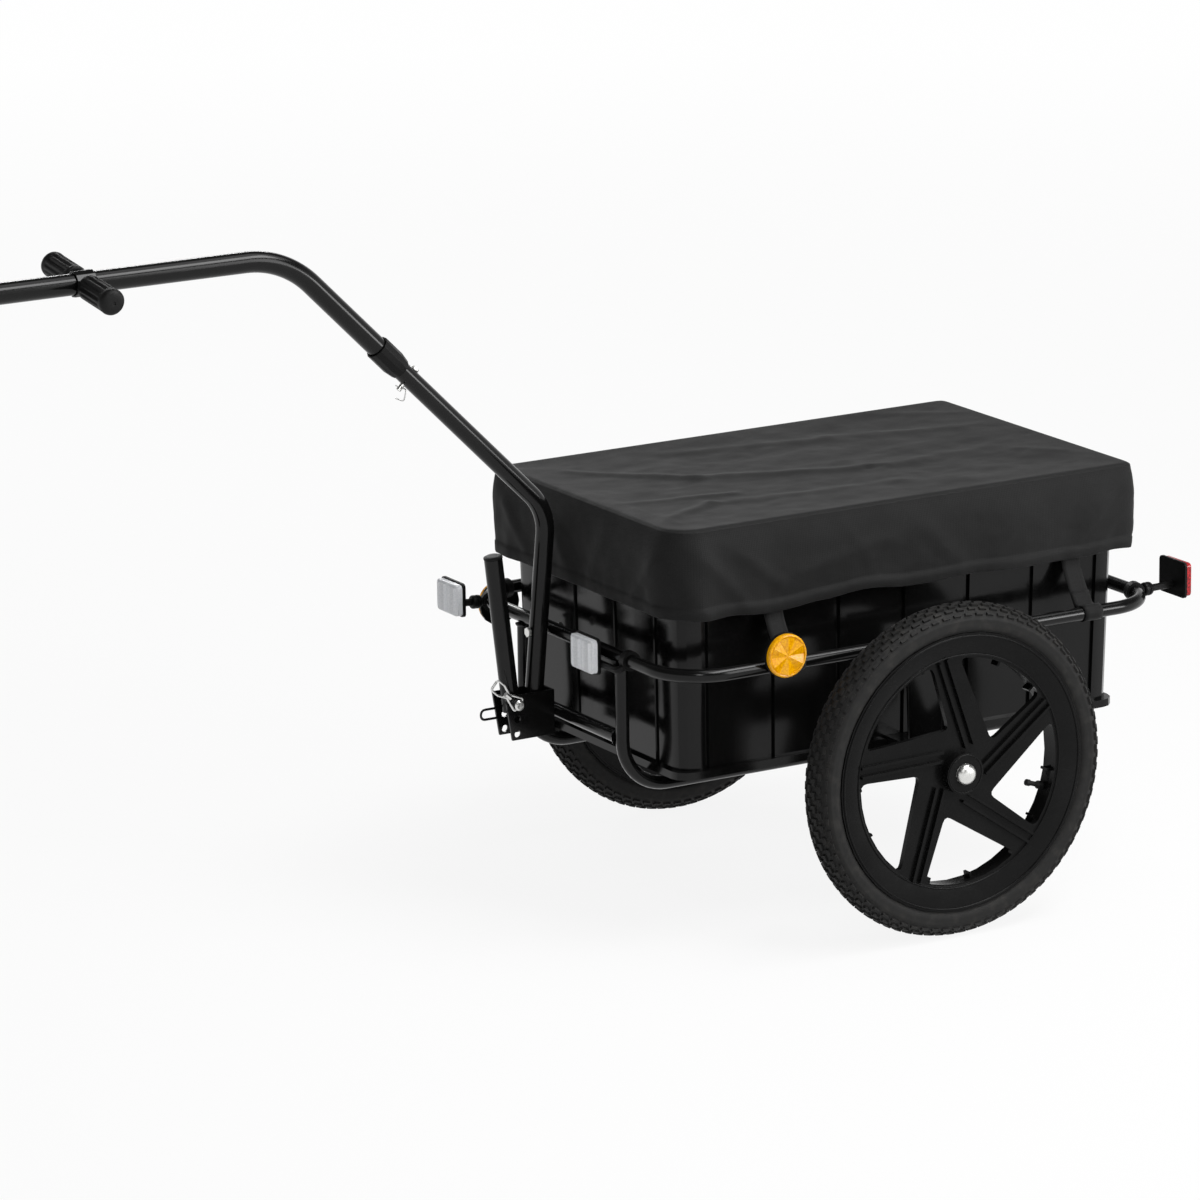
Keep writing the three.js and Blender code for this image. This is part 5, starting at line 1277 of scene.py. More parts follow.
@dataclass
class Cover:
    """The fitted cloth cover: a soft top, a seamed edge and hanging sides. Sizes in millimetres.

    Attributes:
        half_x: Half the length over the top.
        half_y: Half the width over the top.
        centre_x: The middle's distance behind the axle.
        top: The top's height.
        corner: Corner radius in plan of the round corner, at the front on the left.
        square_corner: Corner radius of the other three.
        ears: How far a corner stands out, as (sign of x, sign of y, distance).
        ear_point: How pointed an ear is, as a power.
        roll: Radius of the rolled edge.
        sag: How far the top's middle lies below its edge.
        hem: The hem's height.
        belly: How far the sides bulge.
        belly_power: Power of the drop's share that the bulge follows; below 1 it lies higher.
        hem_band: Height of the band that holds the gathers.
        seam: How far the seam stands out of the rolled edge.
        cloth: The cloth's thickness.
        relief: Height of the top's soft relief.
        relief_scale: How quickly it changes along X and Y, and the layer of the noise.
        relief_noise: Its noise as (fractal dimension, step between octaves, octaves).
        relief_edge: How near the rim it fades out, as a power.
        ripple: Height of the sides' ripples.
        ripple_scale: How quickly they change along the side, per metre, and down it.
        ripple_noise: Their noise, in the same terms.
        ripple_inward: How far a ripple may reach in.
        gathers: The gathers above the hem as (radians per metre, depth, share of the drop above).
        flare: How far the hem stands out.
        grid: Faces of the top along X and Y.
        rows: Rows of faces between the rolled edge and the hem's band.
        top_creases: Creases of the top as (x, y, x, y, half width, height).
        side_creases: Creases of both long sides as (x, fall, x, fall, half width, height).
        end_creases: The same of both short ends, with y for x.
        side_folds: Folds of the long sides as (place, half width, depth).
        end_folds: Folds of the short ends.
        hem_waves: How far the hem stands above its mean, along a long side.
    """

    half_x: float = 319.5
    half_y: float = 203.5
    centre_x: float = 9.5
    top: float = 497.6
    corner: float = 38
    square_corner: float = 22
    ears: Sequence[Wave] = ((-1, 1, 8), (1, -1, 4), (1, 1, 4))
    ear_point: int = 10
    roll: float = 7.5
    sag: float = 4
    hem: float = 393
    belly: float = 3.4
    belly_power: float = 0.8
    hem_band: float = 15
    seam: float = 0.45
    cloth: float = 1.1
    relief: float = 2.4
    relief_scale: tuple[float, float, float] = (0.008, 0.011, 3.1)
    relief_noise: Fractal = (0.9, 2.0, 4)
    relief_edge: int = 8
    ripple: float = 2.2
    ripple_scale: tuple[float, float] = (11, 1.3)
    ripple_noise: Fractal = (0.8, 2.1, 4)
    ripple_inward: float = 1.5
    gathers: tuple[float, float, float] = (420, 0.5, 0.7)
    flare: float = 1.2
    grid: tuple[int, int] = (132, 84)
    rows: int = 22
    top_creases: Sequence[Crease] = (
        (-265, 130, -150, 30, 9, 2.6), (-150, 30, 70, -42, 10, 2.4), (-318, -40, -150, -60, 7, 2),
        (-312, 60, -300, -150, 4, 1.2), (-300, 40, -286, -160, 5, 1.4),
        (-318, -150, -200, -90, 8, 2.2), (-200, -90, 40, -120, 12, 1.8),
        (60, -40, 230, -30, 14, 1.4), (90, 120, 300, 60, 12, 1.6), (-120, 150, 90, 110, 11, 1.6),
        (200, 190, 330, 110, 10, 1.6), (250, -60, 322, -150, 9, 1.8), (330, -7, 300, -7, 7, -3),
        (50, -43, 66, -43, 7, -2.4),
    )  # fmt: skip
    side_creases: Sequence[Crease] = (
        (-300, 6, -225, 92, 9, 2.6), (-262, 4, -180, 70, 8, 1.8), (-316, 20, -280, 100, 8, 2.2),
        (-150, 62, -30, 40, 10, 1.5), (20, 30, 70, 88, 11, 1.4), (302, 6, 228, 88, 8, 2.4),
        (322, 12, 268, 92, 7, 2.0), (170, 20, 120, 84, 10, 1.3), (-90, 10, -60, 60, 9, 1.0),
    )  # fmt: skip
    end_creases: Sequence[Crease] = (
        (-192, 8, -120, 88, 9, 2.2), (190, 8, 128, 84, 9, 2.2), (-60, 14, -20, 84, 11, 1.4),
        (70, 10, 40, 80, 12, 1.4),
    )  # fmt: skip
    side_folds: Sequence[Wave] = (
        (-285.5, 30.7, 3.5), (-214.9, 33.8, 2), (-119.7, 61.4, 1.5), (21.5, 79.8, 1.2),
        (150.4, 61.4, 2), (261, 39.9, 2.6),
    )  # fmt: skip
    end_folds: Sequence[Wave] = (
        (-164.3, 30.6, 3), (-59.2, 49.7, 1.8), (59.2, 59.2, 1.5), (168.1, 34.4, 3),
    )  # fmt: skip
    hem_waves: Sequence[Wave] = (
        (-270.2, 39.9, -2), (-190.3, 70.6, -5), (-61.4, 61.4, 5), (89, 70.6, 2), (288.6, 49.1, 3),
    )  # fmt: skip

    def build(self) -> None:
        mesh = bmesh.new()
        uv = mesh.loops.layers.uv.new("cloth")
        along, across = self.grid
        bmesh.ops.create_grid(mesh, x_segments=along, y_segments=across, size=1)
        for vert in mesh.verts:
            vert.co = self._on_top(vert.co.x, vert.co.y)
        for face in mesh.faces:
            for loop in face.loops:
                loop[uv].uv = loop.vert.co.xy
        self._hang(mesh, uv)
        bmesh.ops.recalc_face_normals(mesh, faces=mesh.faces)
        piece = add("cover_sheet", mesh, COVER_CLOTH, "cover", ["cover"], crease=80)
        wall = piece.modifiers.new("wall", "SOLIDIFY")
        wall.thickness = self.cloth * MM
        wall.offset = -1

    def _on_top(self, u: float, v: float) -> Vector:
        """Shape the top surface, with round corners in plan.

        Args:
            u: Share of the half length, from -1 to 1.
            v: Share of the half width, from -1 to 1.

        Returns:
            The point of the surface.
        """
        half_x, half_y = self.half_x - self.roll, self.half_y - self.roll
        x, y = u * half_x, v * half_y
        reach = max(abs(u), abs(v))
        corner = (self.corner if u < 0 and v < 0 else self.square_corner) - self.roll
        if reach > 0:
            over = Vector((abs(x) / reach - half_x + corner, abs(y) / reach - half_y + corner))
            if over.x > 0 and over.y > 0:
                over *= corner / over.length
                x = math.copysign((half_x - corner + over.x) * reach, u)
                y = math.copysign((half_y - corner + over.y) * reach, v)
        inside = 1 - reach**self.relief_edge
        along, across, layer = self.relief_scale
        spot = Vector((x * along, y * across, layer))
        soft = noise.fractal(spot, *self.relief_noise) * self.relief
        soft += creased(self.top_creases, x, y)
        height = self.top - self.sag * (1 - reach**4) + min(soft, self.sag) * inside
        return at(self.centre_x + x, y, height)

    def _stations(
        self, rim: Sequence[bmesh.types.BMEdge]
    ) -> dict[bmesh.types.BMVert, Station]:
        """Walk round the rim.

        Args:
            rim: The edges of the top's rim.

        Returns:
            A station for each vertex of the rim.
        """
        links: dict[bmesh.types.BMVert, list[bmesh.types.BMVert]] = {}
        for edge in rim:
            for vert in edge.verts:
                links.setdefault(vert, []).append(edge.other_vert(vert))
        ordered = [rim[0].verts[0], rim[0].verts[1]]
        while len(ordered) < len(links):
            ordered.append(next(v for v in links[ordered[-1]] if v is not ordered[-2]))
        middle_point = sum((vert.co for vert in ordered), Vector()) / len(ordered)
        stations, way = {}, 0.0
        for i, vert in enumerate(ordered):
            ahead = ordered[(i + 1) % len(ordered)].co
            step = ahead - ordered[i - 1].co
            outward = Vector((step.y, -step.x, 0)).normalized()
            if outward.dot(vert.co - middle_point) < 0:
                outward.negate()
            ear = sum(
                stand * max(0, (outward.x * x + outward.y * y) / math.sqrt(2)) ** self.ear_point
                for x, y, stand in self.ears
            )
            stations[vert] = Station(vert.co + outward * ear * MM, outward, way)
            way += (ahead - vert.co).length
        return stations

    def _falls(self) -> list[Wave]:
        """List the rows of the side, from the top's rim down to the hem.

        Returns:
            Each as (share of the roll, share of the drop, stand-out).
        """
        raised = self.seam
        rolled = [(0.2, 0, 0), (0.4, 0, 0), (0.5, 0, 0), (0.55, 0, raised), (0.68, 0, raised),
                  (0.73, 0, 0), (0.86, 0, 0), (1, 0, 0)]  # fmt: skip
        band = 1 - self.hem_band / (self.top - self.hem)
        hanging = [(1, band * i / self.rows, 0) for i in range(1, self.rows)]
        folded = [(1, band, 0), (1, band + 0.006, 0.8), (1, (1 + band) / 2, 0.9), (1, 0.985, 0.8),
                  (1, 1, 0.3)]  # fmt: skip
        return [*rolled, *hanging, *folded]

    def _hang(self, mesh: bmesh.types.BMesh, uv: bmesh.types.BMLayerItem) -> None:
        """Draw the sides down from the top's rim, row by row.

        Args:
            mesh: The cover's mesh, which has its top.
            uv: The layer that holds the cloth's own map in metres.
        """
        rim = [edge for edge in mesh.edges if edge.is_boundary]
        stations = self._stations(rim)
        whole_way = sum(edge.calc_length() for edge in rim)
        depths = dict.fromkeys(stations, 0.0)
        for fall in self._falls():
            made = bmesh.ops.extrude_edge_only(mesh, edges=rim)["geom"]
            fresh = {}
            for vert in verts_of(made):
                above = next(
                    edge.other_vert(vert)
                    for edge in vert.link_edges
                    if edge.other_vert(vert) in stations
                )
                fresh[vert] = stations[above]
                vert.co = self._on_side(stations[above], fall)
                depths[vert] = depths[above] + (vert.co - above.co).length
            stations.update(fresh)
            for face in (item for item in made if isinstance(item, bmesh.types.BMFace)):
                ways = [stations[loop.vert].way for loop in face.loops]
                closing = max(ways) - min(ways) > whole_way / 2
                for loop, way in zip(face.loops, ways):
                    past = whole_way if closing and way < whole_way / 2 else 0
                    loop[uv].uv = (way + past, -depths[loop.vert])
            rim = [edge for edge in edges_of(made) if all(vert in fresh for vert in edge.verts)]
            stations = fresh

    def _on_side(self, station: Station, fall: Wave) -> Vector:
        """Shape the rolled edge and the hanging side.

        Args:
            station: The place on the rim that the point hangs from.
            fall: Its row, as _falls gives it.

        Returns:
            The point.
        """
        turn, share, stand = fall
        angle = turn * TAU / 4
        outward = station.outward
        roll = self.roll * MM
        edge = station.place + outward * roll * math.sin(angle)
        edge -= Z_AXIS * roll * (1 - math.cos(angle))
        lift = (outward * math.sin(angle) + Z_AXIS * math.cos(angle)) * stand * MM
        if share == 0:
            return edge + lift
        x, y = (station.place - at(self.centre_x, 0, 0)).xy / MM
        side_share, end_share = outward.y**2, outward.x**2
        hem = self.hem + summed(self.hem_waves, x) * side_share
        fall_mm = share * (self.top - self.hem)
        folds = summed(self.side_folds, x) * side_share + summed(self.end_folds, y) * end_share
        creases = creased(self.side_creases, x, fall_mm) * side_share
        creases += creased(self.end_creases, y, fall_mm) * end_share
        aside, down = self.ripple_scale
        spot = Vector((station.place.x * aside, station.place.y * aside, share * down))
        ripple = noise.fractal(spot, *self.ripple_noise) * self.ripple * math.sqrt(share)
        ripple = max(ripple, -self.ripple_inward)
        pitch, depth, above = self.gathers
        gather = math.sin(station.way * pitch) * depth * max(0, share - above)
        belly = self.belly * math.sin(math.pi * share**self.belly_power) + self.flare * share
        out = belly + (folds + creases + ripple) * min(1, share * 3) + gather
        drop = edge.z - hem * MM
        return edge + outward * out * MM - Z_AXIS * drop * share + lift


def summed(waves: Sequence[Wave], where: float) -> float:
    """Add up smooth bumps.

    Args:
        waves: Each as (place, half width, height).
        where: The place to find the height at.

    Returns:
        The sum of their heights there.
    """
    total = 0.0
    for centre, half_width, height in waves:
        share = min(1, abs(where - centre) / half_width)
        total += height * (1 + math.cos(math.pi * share)) / 2
    return total


def creased(creases: Sequence[Crease], u: float, v: float) -> float:
    """Add up creases.

    Args:
        creases: Each from one point to another, with a half width and a height.
        u: The place's first coordinate.
        v: The place's second coordinate.

    Returns:
        The sum of the creases' heights, each fading toward its ends.
    """
    total = 0.0
    for start_u, start_v, end_u, end_v, half_width, height in creases:
        line = Vector((end_u - start_u, end_v - start_v))
        away = Vector((u - start_u, v - start_v))
        share = away.dot(line) / line.length_squared
        aside = abs(line.cross(away)) / line.length
        beyond = max(0, -share, share - 1) * line.length
        near = math.hypot(aside, beyond) / half_width
        if near < 3:
            total += height * math.exp(-near * near)
    return total


@dataclass
class Strap:
    """A webbing strap from the tub's wall down to a turn round the loop. Sizes in millimetres.

    Attributes:
        end: Front or rear.
        side: The side of the trailer.
        thick: The webbing's thickness.
        wall_y: The strap's distance from the middle plane on the wall.
        wall_top: The height of its upper end.
        bend_top: Where it starts to leave the wall.
        bend: Where its two straight runs would meet.
        bend_reach: How far past that point it is straight again.
        bend_steps: Steps of the bend.
        loop_y: The loop's distance from the middle plane.
        loop_z: The loop's height.
        turn_radius: Radius of the turn round the loop.
        turn: The turn's angle in radians.
        lap: Where the points of the lap that comes back up lie, from the turn.
        lap_gap: Gap between the lap and the strap.
        turn_steps: Steps of the turn.
        strips: Strips across the width.
    """

    end: str
    side: Side
    thick: float = 1.3
    wall_y: float = 197.2
    wall_top: float = 424
    bend_top: float = 404
    bend: float = 386
    bend_reach: float = 18
    bend_steps: int = 6
    loop_y: float = 240
    loop_z: float = 335
    turn_radius: float = 9.1
    turn: float = 1.6 * math.pi
    lap: Sequence[float] = (15, 21, 30)
    lap_gap: float = 0.3
    turn_steps: int = 22
    strips: int = 4

    def _route(self) -> list[Vector]:
        """Lay out the middle line.

        Returns:
            Points of (distance from the middle plane, height).
        """
        loop, corner = Vector((self.loop_y, self.loop_z)), Vector((self.wall_y, self.bend))
        away = corner - loop
        start = math.atan2(away.y, away.x) + math.acos(self.turn_radius / away.length)
        turn = [
            loop + self.turn_radius * Vector((math.cos(angle), math.sin(angle)))
            for angle in (
                start + self.turn * i / self.turn_steps for i in range(self.turn_steps + 1)
            )
        ]
        down = (turn[0] - corner).normalized()
        above, below = Vector((self.wall_y, self.bend_top)), corner + down * self.bend_reach
        curve = [
            above * (1 - t) ** 2 + corner * 2 * t * (1 - t) + below * t * t
            for t in (i / self.bend_steps for i in range(self.bend_steps + 1))
        ]
        outer = Vector((-down.y, down.x)) * (self.thick + self.lap_gap)
        lap = [turn[0] - down * reach + outer for reach in self.lap]
        return [Vector((self.wall_y, self.wall_top)), *curve, *turn, *lap]

    def build(self) -> None:
        node = f"strap_{self.end}_{self.side.word}"
        low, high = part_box(node)
        route = self._route()
        ways = [0.0]
        for here, ahead in zip(route, route[1:]):
            ways.append(ways[-1] + (ahead - here).length * MM)
        mesh = bmesh.new()
        uv = mesh.loops.layers.uv.new("cloth")
        line = [
            mesh.verts.new((low.x, self.side.value * place.x * MM, place.y * MM)) for place in route
        ]
        found = {vert.co.yz.copy().freeze(): way for vert, way in zip(line, ways)}
        rim = [mesh.edges.new(pair) for pair in zip(line, line[1:])]
        for _ in range(self.strips):
            rim = pulled(mesh, rim, X_AXIS * (high.x - low.x) / self.strips)
        for face in mesh.faces:
            for loop in face.loops:
                loop[uv].uv = (loop.vert.co.x, found[loop.vert.co.yz.copy().freeze()])
        bmesh.ops.recalc_face_normals(mesh, faces=mesh.faces)
        piece = add(f"{node}_webbing", mesh, WEBBING, "chassis", [node], crease=60)
        wall = piece.modifiers.new("wall", "SOLIDIFY")
        wall.thickness = self.thick * MM
        wall.offset = 0


# Drawbar, fittings and reflectors


@dataclass
class Drawbar:
    """The bent drawbar in two halves, with its handle. Sizes in millimetres.

    Attributes:
        offset: How far the drawbar's plane lies to the right of the middle.
        foot: The lower tube's foot in the bracket, as (x, z).
        knee: Its corner.
        split: Where the two halves meet.
        upper_knee: The upper tube's corner.
        front: Its front end.
        lower_radius: Radius of the lower tube.
        upper_radius: Radius of the upper tube.
        wall: The lower tube's wall.
        lower_bend: Radius of the lower bend.
        upper_bend: Radius of the upper bend.
        upper_steps: Steps of the upper bend.
        handle: Where the cross handle stands.
        small: The small parts with their finish and how far their edges are cut back.
    """

    offset: float = 45
    foot: tuple[float, float] = (-355.546, 224)
    knee: tuple[float, float] = (-332.133, 478.8)
    split: tuple[float, float] = (-534.753, 681.42)
    upper_knee: tuple[float, float] = (-669.833, 816.5)
    front: tuple[float, float] = (-1094.833, 816.5)
    lower_radius: float = 11
    upper_radius: float = 12.3
    wall: float = 1.7
    lower_bend: float = 62
    upper_bend: float = 118
    upper_steps: int = 18
    handle: float = -921.833
    small: Sequence[Part] = (
        ("drawbar_bracket", PAINT, 0.6),
        ("drawbar_collar", FITTING, 0.6),
        ("drawbar_pin", STEEL, 0.3),
        ("loop_bolt", STEEL, 0.3),
        ("drawbar_clip", WIRE, 0.1),
        ("handle_bar", PAINT, 0.5),
    )

    def _point(self, place: tuple[float, float]) -> Vector:
        """A point of the drawbar's plane."""
        return at(place[0], self.offset, place[1])

    def build(self) -> None:
        """Build both tubes and what they carry."""
        lower = Bend(
            [self._point(p) for p in (self.foot, self.knee, self.split)],
            self.lower_bend * MM,
            self.lower_radius * MM,
            wall=self.wall * MM,
        )
        add("drawbar_lower_tube", lower.mesh(), PAINT, "chassis", ["drawbar_lower"])
        upper = Bend(
            [self._point(p) for p in (self.split, self.upper_knee, self.front)],
            self.upper_bend * MM,
            self.upper_radius * MM,
            steps=self.upper_steps,
        )
        add("drawbar_upper_tube", upper.mesh(), PAINT, "chassis", ["drawbar_upper"])
        for part in self.small:
            refined(*part)
        for side in Side:
            Grip(side, at(self.handle, self.offset, self.front[1])).build()


@dataclass
class Grip:
    """A fluted rubber grip with a domed end. Sizes in millimetres.

    Attributes:
        side: The end of the cross handle that it sits on.
        handle: The middle of the cross handle.
        tilt: Degrees by which the handle's right end is higher.
        start: From the handle's middle to the grip.
        profile: Outline from the bottom of the bore to the dimple in the end.
        fluted: Where the flutes run, from the grip's inner end.
        flutes: How many there are.
        depth: Their depth.
        fade: How far a flute takes to run out at each end.
        skin: Radius past which a vertex is on the grip's outside.
        wide: A flute's width, as what is added to the cosine round the grip.
    """

    side: Side
    handle: Vector
    tilt: float = 7
    start: float = 16
    profile: Profile = (
        (0, 57), (10.7, 57), (10.7, 0), (13.4, 0), (14.4, 0.8), (14.7, 2.2), (14.7, 4), (14.7, 6),
        (14.7, 8), (14.7, 10), (14.7, 20), (14.7, 30), (14.7, 40), (14.7, 46), (14.7, 48),
        (14.7, 50), (14.7, 52), (15, 53.4), (15.1, 55.4), (14.7, 57.6), (13.5, 59.6), (11.4, 61),
        (8.6, 61.8), (5, 62), (2.4, 62), (1.9, 61.2), (0, 61),
    )  # fmt: skip
    fluted: tuple[float, float] = (5, 51)
    flutes: int = 12
    depth: float = 1.9
    fade: float = 4
    skin: float = 14
    wide: float = 0.35

    def build(self) -> None:
        """Turn the grip and press the flutes in."""
        tilt = math.radians(self.tilt)
        outward = Vector((0, math.cos(tilt), math.sin(tilt))) * self.side.value
        origin = self.handle + outward * self.start * MM
        grip = turned(self.profile, origin, outward, sides=96)
        across = outward.orthogonal().normalized()
        aside = outward.cross(across)
        low, high = self.fluted
        for vert in grip.verts:
            away = vert.co - origin
            along = away.dot(outward) / MM
            spoke = away - outward * away.dot(outward)
            if spoke.length < self.skin * MM or not low < along < high:
                continue
            angle = math.atan2(spoke.dot(aside), spoke.dot(across))
            groove = max(0, math.cos(self.flutes * angle) + self.wide) / (1 + self.wide)
            run_out = min(1, (along - low) / self.fade, (high - along) / self.fade)
            vert.co -= spoke.normalized() * self.depth * MM * groove * run_out
        node = f"handle_grip_{self.side.word}"
        add(f"{node}_rubber", grip, GRIP_RUBBER, body_of(node), [node], crease=50)


@dataclass
class Fittings:
    """The leg, the hitch, the clamp, the tub and the holders. Sizes in millimetres.

    Attributes:
        parts: Each with its finish and how far its edges are cut back.
        holders: The reflectors whose holders these are.
        holder_edge: How far a holder's edges are cut back.
    """

    parts: Sequence[Part] = (
        ("leg_tube", PAINT, 0.4),
        ("leg_cap", FITTING, 0.4),
        ("lock_pin", STEEL, 0.3),
        ("lock_pin_bail", WIRE, 0.2),
        ("hitch_tongue", FITTING, 0.6),
        ("hitch_knuckle", PAINT, 0.8),
        ("pitch_bolt", STEEL, 0.4),
        ("king_pin", STEEL, 0.4),
        ("clamp_rear", PAINT, 0.8),
        ("clamp_front", PAINT, 0.8),
        ("clamp_bolt_left", STEEL, 0.4),
        ("clamp_bolt_right", STEEL, 0.4),
        ("tub", TUB_PLASTIC, 0.6),
    )
    holders: Sequence[str] = (
        "white_left", "white_right", "red_rear", "amber_left", "amber_right"
    )  # fmt: skip
    holder_edge: float = 0.4

    def build(self) -> None:
        """Build each fitting."""
        for part in self.parts:
            refined(*part)
        for name in self.holders:
            refined(f"{name}_reflector_holder", FITTING, self.holder_edge)


@dataclass
class RoundLens:
    """A round side reflector whose face is cut in wedges. Sizes in millimetres.

    Attributes:
        side: The side of the trailer.
        radius: Radius over the rim.
        depth: Its thickness.
        lip: The rim's outline, from outside in, as (distance in from the radius, height).
        face_height: The face's height over the back.
        wedges: Wedges round the face.
        cut: How far the corners stand up and down in turn.
    """

    side: Side
    radius: float = 25.5
    depth: float = 7
    lip: Profile = ((0, 4.4), (0.6, 5.8), (2, 6.5), (3, 6.2), (3, 4))
    face_height: float = 5.8
    wedges: int = 12
    cut: float = 1.5

    def build(self) -> None:
        """Turn the rim and set the wedges in it."""
        node = f"amber_{self.side.word}_reflector_lens"
        outward = Y_AXIS * self.side.value
        back = middle(node) - outward * self.depth / 2 * MM
        border, floor = self.lip[-1]
        face = self.radius - border
        lip = [(self.radius - inward, height) for inward, height in self.lip]
        profile = [(0, 0), (self.radius, 0), *lip, (0, floor)]
        rim = turned(profile, back, outward, sides=40)
        fan = bmesh.new()
        made = bmesh.ops.create_circle(
            fan,
            cap_ends=True,
            cap_tris=True,
            radius=face * MM,
            segments=self.wedges,
            matrix=aimed(back + outward * self.face_height * MM, outward),
        )["verts"]
        edge = [vert for vert in made if len(vert.link_edges) < self.wedges]
        for i, vert in enumerate(edge):
            vert.co += outward * self.cut * MM * (-1) ** i
        add(f"{node}_face", joined(rim, fan), AMBER, body_of(node), [node], crease=6)


@dataclass
class BoxLens:
    """A square reflector with two fields of upright ribs. Sizes in millimetres.

    Attributes:
        node: The solid that it replaces.
        finish: Its finish.
        facing: The sign of X that its face looks along.
        border: Width of the plain border.
        ribs: Ribs in each field.
        rise: How far a rib stands out.
        plate: Thickness of the field under the ribs.
        edge: How far the block's edges are cut back.
    """

    node: str
    finish: Finish
    facing: float
    border: float = 3
    ribs: int = 3
    rise: float = 2.3
    plate: float = 0.5
    edge: float = 0.8

    def build(self) -> None:
        """Round the block's edges and set the ribs on its face."""
        low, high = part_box(self.node)
        block = solid_copy(self.node)
        softened(block, self.edge)
        front = high.x if self.facing > 0 else low.x
        width, height = high.y - low.y, high.z - low.z
        half = (width - 3 * self.border * MM) / 2
        tall = height - 2 * self.border * MM
        fields = []
        for way in (-1, 1):
            y = (low.y + high.y) / 2 + way * (half + self.border * MM) / 2
            fields.append(self._field(Vector((front, y, (low.z + high.z) / 2)), half, tall))
        whole = joined(block, *fields)
        add(
            f"{self.node}_face", whole, self.finish, body_of(self.node), [self.node], crease=14
        )

    def _field(self, place: Vector, width: float, height: float) -> bmesh.types.BMesh:
        """Fold a plate into upright ribs.

        Args:
            place: The field's middle, on the block's face.
            width: Its width.
            height: Its height.

        Returns:
            The field's mesh.
        """
        mesh = bmesh.new()
        outward = X_AXIS * self.facing
        upright = Matrix((Y_AXIS * self.facing, Z_AXIS, outward)).transposed()
        made = bmesh.ops.create_grid(
            mesh,
            x_segments=2 * self.ribs,
            y_segments=1,
            size=0.5,
            matrix=Matrix.Translation(place)
            @ upright.to_4x4()
            @ Matrix.Diagonal((width, height, 1, 1)),
        )["verts"]
        step = width / (2 * self.ribs)
        crests = [vert for vert in made if round((vert.co.y - place.y) / step + self.ribs) % 2]
        bmesh.ops.translate(mesh, verts=crests, vec=outward * self.rise * MM)
        rim = [edge for edge in mesh.edges if edge.is_boundary]
        pulled(mesh, rim, -outward * self.plate * MM)
        bmesh.ops.translate(mesh, verts=mesh.verts, vec=outward * self.plate / 2 * MM)
        return mesh


@dataclass
class Knuckle:
    """The two-part joint of a reflector's stem. Sizes in millimetres.

    Attributes:
        name: The reflector's name.
        loop: Where the stem leaves the loop's centre line.
        holder: Where it meets the holder.
        reach: From the loop's centre line to the joint's middle.
        profile: The joint's outline.
    """

    name: str
    loop: tuple[float, float, float]
    holder: tuple[float, float, float]
    reach: float = 20
    profile: Profile = (
        (4, -6), (6.6, -6), (7.8, -5), (8.2, -3.4), (8.2, -1.2), (7.3, -0.7), (7.3, 0.7),
        (8.2, 1.2), (8.2, 3.4), (7.8, 5), (6.6, 6), (4, 6), (4, -6),
    )  # fmt: skip

    def build(self) -> None:
        """Turn the joint round its stem."""
        start = at(*self.loop)
        along = (at(*self.holder) - start).normalized()
        joint = turned(self.profile, start + along * self.reach * MM, along, sides=28)
        add(f"{self.name}_knuckle", joint, FITTING, "chassis")


@dataclass
class Reflectors:
    """The five lenses and two joints of their stems.

    Attributes:
        knuckles: The joints.
    """

    knuckles: Sequence[Knuckle] = (
        Knuckle("red_rear", (340.8, -187.4, 335), (404.5, -178, 333)),
        Knuckle("white_right", (-322.1, 197.2, 335), (-370.5, 200, 337)),
    )

    def build(self) -> None:
        """Build each joint and lens."""
        for knuckle in self.knuckles:
            knuckle.build()
        for side in Side:
            RoundLens(side).build()
            BoxLens(f"white_{side.word}_reflector_lens", CLEAR, -1).build()
        BoxLens("red_rear_reflector_lens", RED, 1).build()


@dataclass
class Straps:
    """The four straps."""

    def build(self) -> None:
        """Build each strap."""
        for side in Side:
            for end in ("front", "rear"):
                Strap(end, side).build()


# Studio


@dataclass
class Viewpoint:
    """The camera, as fitted to the photograph.

    Attributes:
        place: Where it stands.
        yaw: Degrees from +Y toward +X.
        pitch: Degrees down.
        roll: Degrees, of the horizon.
        focal: Focal length in millimetres.
        sensor: The sensor's width in millimetres.
        far: How far it sees.
    """

    place: tuple[float, float, float] = (-3.62513, -6.3023, 2.2828)
    yaw: float = 30.71
    pitch: float = 14.6
    roll: float = -0.67
    focal: float = 195
    sensor: float = 36
    far: float = 200

    def build(self) -> None:
        """Make the scene's camera."""
        yaw, pitch, roll = (math.radians(a) for a in (self.yaw, self.pitch, self.roll))
        ahead = Vector(
            (math.sin(yaw) * math.cos(pitch), math.cos(yaw) * math.cos(pitch), -math.sin(pitch))
        )
        level = Vector((math.cos(yaw), -math.sin(yaw), 0))
        upright = level.cross(ahead)
        right = level * math.cos(roll) + upright * math.sin(roll)
        up = upright * math.cos(roll) - level * math.sin(roll)
        camera = bpy.data.objects.new("camera", bpy.data.cameras.new("camera"))
        camera.data.lens = self.focal
        camera.data.sensor_width = self.sensor
        camera.data.clip_end = self.far
        turn = Matrix((right, up, -ahead)).transposed().to_4x4()
        camera.matrix_world = Matrix.Translation(Vector(self.place)) @ turn
        bpy.context.scene.collection.objects.link(camera)
        bpy.context.scene.camera = camera


